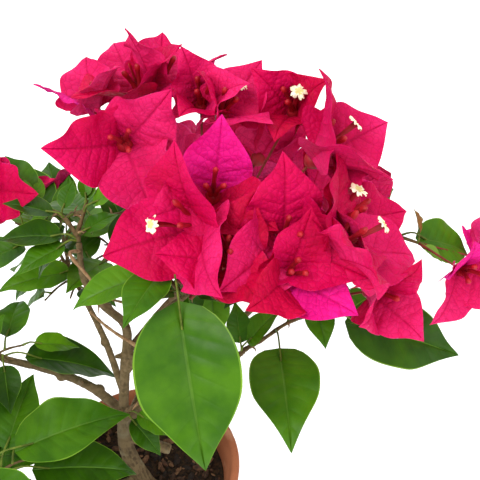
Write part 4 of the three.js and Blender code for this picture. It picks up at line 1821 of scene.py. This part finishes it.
@dataclass
class Twigs:
    """All the twigs, leaf stalks and bloom stalks, with thorns and two dry twigs."""

    plant: Plant
    sides: int = 7
    thorn_radius: float = 0.7
    thorny_from: float = 1.2  # twigs thinner than this bear no thorns
    dry: Sequence[Sequence[Row]] = (
        [[-23.5, 30, 242], [-25.9, 20.8, 248.5], [-17.6, 12.2, 243.4], [-7.4, 4.2, 236], [3.1, 1.9, 233.5]],
        [[5.4, 0.8, 203], [-7.8, 1.3, 216.3], [-16.6, 3.5, 226.2]],
    )
    thorns: Sequence[Sequence[Row]] = ([[-11.2, 5.8, 237.7], [-11.5, 2, 232], [-12, -0.5, 227.8]],)

    GREEN, WOOD, DRY, RED = range(4)

    def tube(self, limb: Limb, slot: int, sides: int, draws: Draws) -> Skin:
        """One twig or stalk with its small swellings."""
        count = max(5, round(limb.path.length() / 2.2))
        shares = np.linspace(0, 1, count)
        swell = 1 + 0.12 * np.sin(shares * count * 1.9 + draws.uniform(0, 6))
        if slot in (self.GREEN, self.RED):
            swell = 0.62 + 0.5 * (1 - shares) ** 3 + 0.2 * shares**4
        radii = (limb.radius(shares) * swell)[:, None] * draws.uniform(0.94, 1.06, (count, sides))
        return ringed(limb.path, shares, radii, sides, slot)

    def thorn(self, places: Sequence[Row]) -> Skin:
        """One curved thorn, drawn to a point."""
        shares = np.linspace(0, 0.98, 7)
        return ringed(Path(places), shares, self.thorn_radius * (1 - shares) ** 0.8 + 0.03, 6, self.DRY)

    def slot_of(self, twig: Twig) -> int:
        """The slot of a twig, a leaf's stalk or a bloom's."""
        if not twig.green:
            return self.WOOD
        return self.GREEN if twig.limb.start == PETIOLE_RADIUS else self.RED

    def build(self) -> list[Thing]:
        """The twigs' piece."""
        draws = np.random.default_rng(11)
        sheaf = Sheaf("twigs_and_stalks")
        for twig in (twig for spray in self.plant.sprays.values() for twig in spray.twigs):
            sheaf.add(self.tube(twig.limb, self.slot_of(twig), self.sides, draws))
            if twig.green or twig.limb.start < self.thorny_from:
                continue
            for share in (0.35, 0.7):
                foot, way = twig.limb.path.at(share)[0], twig.limb.path.tangents(share)[0]
                out = square_to(way, heading(draws.uniform(0, 360), 10))
                bend = foot + out * 3 + way * 0.6
                sheaf.add(self.thorn([foot, bend, foot + out * 5.5 - UP * 0.6]))
        for path in self.dry:
            sheaf.add(self.tube(Limb(path, 0.95, 0.6), self.DRY, 8, draws))
        for path in self.thorns:
            sheaf.add(self.thorn(path))
        finishes = (
            PlainFinish("green_stalk", (74, 90, 24), (110, 126, 44), 260, 0.6, 0.08, 0.2),
            PlainFinish("twig_bark", (78, 62, 36), (112, 92, 58), 420, 0.8, 0.2, 0.2),
            PlainFinish("dry_twig", (126, 96, 64), (164, 134, 98), 420, 0.8, 0.2, 0.2),
            PlainFinish("bloom_stalk", (104, 34, 30), (132, 58, 40), 260, 0.6, 0.08, 0.2),
        )
        return finished([sheaf.build(finishes, 60)])


# ------------------------------------------------------------------ leaves and blossom


@dataclass
class Foliage:
    """The leaves of some masses, joined into one piece."""

    plant: Plant
    name: str
    masses: Sequence[str]
    seed: int

    TONES = {
        Tone.DEEP: LeafFinish("leaf_deep", (34, 68, 2), (50, 90, 4), (30, 60, 2)),
        Tone.MID: LeafFinish("leaf_mid", (48, 92, 2), (68, 114, 6), (42, 82, 4)),
        Tone.BRIGHT: LeafFinish("leaf_bright", (66, 114, 4), (88, 136, 14), (60, 104, 8)),
        Tone.YOUNG: LeafFinish("leaf_young", (100, 144, 42), (128, 164, 62), (92, 132, 40)),
        Tone.BRONZE: LeafFinish("leaf_bronze", (110, 74, 30), (140, 100, 44), (160, 124, 64)),
    }
    EDGES = (
        LeafFinish("leaf_midrib", (60, 100, 18), (78, 118, 28), (88, 126, 40)),
        LeafFinish("leaf_margin", (92, 134, 30), (116, 154, 44), (120, 158, 52)),
        LeafFinish("leaf_underside", (78, 110, 40), (98, 130, 56), (120, 148, 76), 0.65, 0.15),
    )

    def build(self) -> list[Thing]:
        """The leaves' piece, which stands for its masses."""
        draws = np.random.default_rng(self.seed)
        sheaf = Sheaf(self.name)
        tones = list(self.TONES)
        edges = range(len(tones), len(tones) + len(self.EDGES))
        for leaf in (leaf for spray in self.plant.of(self.masses) for leaf in spray.leaves):
            weave = FINE_LEAF if leaf.fine else PLAIN_LEAF
            skin, vein, _ = weave.lay(leaf.blade, LEAF_RELIEF, draws, (tones.index(leaf.tone), *edges))
            sheaf.add(skin, vein=vein)
        leaves = sheaf.build([*self.TONES.values(), *self.EDGES])
        if self.masses != ["bloom_head"]:
            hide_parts(*self.masses)
        return finished([leaves])


@dataclass
class Blossom:
    """The bracts of some blooms, joined into one piece."""

    plant: Plant
    name: str
    masses: Sequence[str]
    part: slice
    seed: int
    stands_for: Sequence[str] = ()

    # Low, high and vein colour of each hue, here and in BACKS; the darker vein colour is partly painted shade
    # in the vein grooves.
    FACES = {
        Hue.CRIMSON: ((188, 2, 64), (206, 8, 84), (146, 0, 40)),
        Hue.RUBY: ((180, 2, 50), (198, 8, 68), (136, 0, 34)),
        Hue.ROSE: ((198, 10, 80), (220, 34, 104), (158, 0, 54)),
        Hue.MAGENTA: ((204, 6, 106), (228, 26, 138), (160, 0, 78)),
    }
    BACKS = {
        Hue.CRIMSON: ((202, 16, 84), (220, 40, 108), (160, 0, 56)),
        Hue.RUBY: ((194, 10, 68), (212, 28, 88), (150, 0, 46)),
        Hue.ROSE: ((208, 28, 100), (228, 56, 126), (170, 4, 74)),
        Hue.MAGENTA: ((212, 22, 124), (230, 48, 152), (174, 0, 96)),
    }

    def finishes(self) -> list[BractFinish]:
        """The faces of every hue, and then the backs."""
        return [
            BractFinish(f"{side}_{hue.name.lower()}", *colours[hue])
            for side, colours in (("bract", self.FACES), ("back", self.BACKS))
            for hue in Hue
        ]

    def build(self) -> list[Thing]:
        """The bracts' piece."""
        draws = np.random.default_rng(self.seed)
        sheaf = Sheaf(self.name)
        hues = list(Hue)
        blooms = [bloom for spray in self.plant.of(self.masses) for bloom in spray.blooms]
        for bloom in blooms[self.part]:
            for blade, hue in zip(bloom.blades, bloom.hues):
                face = hues.index(hue)
                slots = (face, face, face, face + len(hues))
                skin, vein, flat = PAPER.lay(blade, BRACT_RELIEF, draws, slots)
                sheaf.add(skin, vein=vein, flat=flat)
        bracts = sheaf.build(self.finishes(), 60)
        if self.stands_for:
            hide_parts(*self.stands_for)
        return finished([bracts])


@dataclass
class Flowers:
    """The three slender tubes of every bloom, closed at the tip or open in a cream star."""

    plant: Plant
    length: float = 22
    lean: float = 20
    open_rise: float = 0.3  # how far the tubes bend up to the light
    closed_rise: float = 0.45
    star_radius: float = 4.4
    star_thick: float = 0.28
    knot: float = 4
    lobes: int = 5
    notch: float = 0.2
    ruffle: float = 0.45

    TUBE, TIP, LOBE, THROAT = range(4)
    TIP_FROM = 0.86
    OUTLINE = ((0, 0.8), (0.05, 1.2), (0.18, 1.35), (0.32, 1.15), (0.5, 0.95), (0.7, 0.95), (0.84, 1.15))
    CLOSED = ((0.9, 1.3), (0.95, 1.15), (0.985, 0.75), (1.0, 0.3))
    OPEN = ((0.92, 1.2), (1.0, 1.4))
    KNOT = ((0, 0.3), (0.2, 0.75), (0.45, 1.0), (0.7, 0.9), (0.9, 0.5), (1, 0.2))

    def tube(self, start: Array, tip: Array, is_open: bool) -> Skin:
        """One five-ribbed tube."""
        outline = np.array([*self.OUTLINE, *(self.OPEN if is_open else self.CLOSED)])
        sway = square_to(unit(tip - start), UP) * 0.7
        path = Path([start, (start + tip) / 2 + sway, tip])
        turns = round_turns(15)
        radii = outline[:, 1:] * (1 + 0.1 * np.cos(5 * turns))
        end = self.TUBE if is_open else self.TIP
        slots = np.where(outline[1:, 0] > self.TIP_FROM, end, self.TUBE)
        return ringed(path, outline[:, 0], radii, len(turns), slots)

    def seat(self, bloom: Bloom) -> Skin:
        """The small knot that the bracts and tubes of a bloom stand on."""
        reach = bloom.face * self.knot
        path = Path([bloom.centre - reach, bloom.centre, bloom.centre + reach])
        shares, radii = np.array(self.KNOT, float).T
        return ringed(path, shares, self.knot * bloom.size * radii, 12, self.TUBE)

    def star(self, centre: Array, face: Array, spin: float) -> Skin:
        """One star: five notched lobes, ruffled and cupped round a greenish throat."""
        across = square_to(face, np.eye(3)[0] if abs(face[2]) > 0.8 else UP)
        across = swung(across, face, spin)
        other = np.cross(face, across)
        turns = round_turns(60)
        lobe = np.abs(np.cos(self.lobes * turns / 2))
        notch = np.exp(-(1 - lobe) / 0.012)
        reach = self.star_radius * (0.42 + 0.58 * lobe**0.55 - self.notch * notch)
        ruffle = np.sin(2 * self.lobes * turns + 0.5)
        shares = np.array([0.16, 0.32, 0.5, 0.7, 0.86, 1.0])
        lifts = 1.1 * shares**1.5 - 1.5 * shares**4
        top = [
            centre
            + (share * reach * np.cos(turns))[:, None] * across
            + (share * reach * np.sin(turns))[:, None] * other
            + (lift + self.ruffle * share**2 * ruffle + 0.25)[:, None] * face
            for share, lift in zip(shares, lifts)
        ]
        below = [ring - face * self.star_thick for ring in top[:-1]]
        rings = np.array([*below, *top[::-1]])
        slots = [self.LOBE] * (len(rings) - 3) + [self.THROAT] * 2
        return lofted(rings, centre - face * 0.1, centre + face * 0.2, slots)

    def build(self) -> list[Thing]:
        """The flowers' piece."""
        draws = np.random.default_rng(29)
        sheaf = Sheaf("tubes_and_stars")
        lean = math.radians(self.lean)
        for bloom in (bloom for spray in self.plant.sprays.values() for bloom in spray.blooms):
            sheaf.add(self.seat(bloom))
            for index, out in enumerate(bloom.outs):
                is_open = index < bloom.stars
                rise = self.open_rise if is_open else self.closed_rise
                along = unit(bloom.face * math.cos(lean) + out * math.sin(lean) + UP * rise)
                length = self.length * bloom.size * (1 if is_open else draws.uniform(0.8, 1.02))
                tip = bloom.centre + along * length
                sheaf.add(self.tube(bloom.centre + along, tip, is_open))
                if is_open:
                    sheaf.add(self.star(tip, along, draws.uniform(0, 72)))
        finishes = (
            PlainFinish("tube_red", (126, 4, 22), (164, 14, 34), 260, 0.55, 0.08),
            PlainFinish("tube_tip", (150, 6, 26), (184, 22, 34), 300, 0.55, 0.08),
            PlainFinish("star_cream", (238, 230, 190), (252, 248, 222), 260, 0.55, 0.05),
            PlainFinish("star_throat", (206, 204, 120), (226, 220, 150), 260, 0.6, 0.05),
        )
        return finished([sheaf.build(finishes, 50)])


def finished(pieces: Sequence[Thing]) -> list[Thing]:
    """Let pieces ride on the plant's one body.

    Args:
        pieces: The pieces.

    Returns:
        The same pieces.
    """
    for piece in pieces:
        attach(piece, "root")
    return list(pieces)


# ------------------------------------------------------------------ the studio


@dataclass
class Studio:
    """A pale floor, soft light and the camera, in metres.

    Each lamp is a name, a place and a power.
    """

    eye: Row = (0.056, -0.2556, 0.5064)
    tilt: float = 42  # degrees that the camera looks down
    view: float = 34  # degrees across
    floor_reach: float = 4
    floor_drop: float = 0.0005
    world: float = 0.75
    lamp_size: float = 0.9
    lit: Row = (0.02, 0.02, 0.2)  # what the lamps face
    lamps: Sequence[tuple[str, Row, float]] = (
        ("key", (-0.7, -0.75, 1.5), 22),
        ("fill", (0.9, -0.6, 0.9), 6),
        ("back", (0.2, 1.1, 1.2), 8),
    )

    def build(self) -> list[Thing]:
        """The floor, with the light and camera set up round it."""
        scene = bpy.context.scene
        scene.view_settings.view_transform = "Standard"
        self.camera(scene)
        self.lights(scene)
        bpy.ops.mesh.primitive_circle_add(vertices=64, radius=self.floor_reach, fill_type="NGON")
        floor = bpy.context.object
        floor.name = "studio_floor"
        floor.location.z = -self.floor_drop
        shader = Shader("pale_floor", roughness=0.95, specular=0.1)
        shader.give("Base Color", linear((250, 250, 250)))
        shader.give("Emission Color", linear((255, 255, 255)))
        shader.give("Emission Strength", 0.35)
        floor.data.materials.append(shader.material)
        return [floor]

    def camera(self, scene: bpy.types.Scene) -> None:
        """The camera, level from side to side and looking down at the bloom."""
        data = bpy.data.cameras.new("camera")
        data.sensor_width = 36
        data.angle = math.radians(self.view)
        data.clip_start = 0.01
        camera = bpy.data.objects.new("camera", data)
        camera.location = self.eye
        camera.rotation_euler = (math.radians(90 - self.tilt), 0, 0)
        scene.collection.objects.link(camera)
        scene.camera = camera

    def lights(self, scene: bpy.types.Scene) -> None:
        """A near-white surround, a large key from above the left shoulder and a low fill."""
        world = bpy.data.worlds.new("surround")
        world.use_nodes = True
        background = world.node_tree.nodes["Background"]
        background.inputs["Color"].default_value = linear((252, 252, 255))
        background.inputs["Strength"].default_value = self.world
        scene.world = world
        for name, place, power in self.lamps:
            data = bpy.data.lights.new(name, "AREA")
            data.size, data.energy = self.lamp_size, power
            lamp = bpy.data.objects.new(name, data)
            lamp.location = place
            aim = Vector(self.lit) - Vector(place)
            lamp.rotation_euler = aim.to_track_quat("-Z", "Y").to_euler()
            scene.collection.objects.link(lamp)


def main() -> None:
    """Grow the plant, build each sub-assembly in order and report its pieces."""
    logging.basicConfig(level=logging.INFO, format="%(name)s: %(message)s")
    plant = Plant()
    others = [name for name in plant.sprays if name != "bloom_head"]
    assemblies = (
        Studio(),
        Pot(),
        Soil(),
        Wood(plant),
        Twigs(plant),
        Foliage(plant, "leaves_left", ["spray_left_low", "spray_left_high", "spray_front_left"], 101),
        Foliage(plant, "leaves_right", ["spray_right", "spray_far_right", "spray_low_front"], 102),
        Foliage(plant, "leaves_head", ["bloom_head"], 103),
        Foliage(plant, "leaves_back", ["spray_back", "spray_back_left", "spray_back_right"], 104),
        Blossom(plant, "bracts_upper", ["bloom_head"], slice(0, 10), 201, ["bloom_head"]),
        Blossom(plant, "bracts_lower", ["bloom_head"], slice(10, None), 202),
        Blossom(plant, "bracts_outer", others, slice(0, None), 203),
        Flowers(plant),
    )
    total = 0
    for assembly in assemblies:
        for piece in assembly.build():
            count = sum(len(face.vertices) - 2 for face in piece.data.polygons)
            total += count
            log.info("%s: %d triangles", piece.name, count)
    log.info("%d triangles in all", total)


if __name__ == "__main__":
    main()
    bpy.context.view_layer.update()
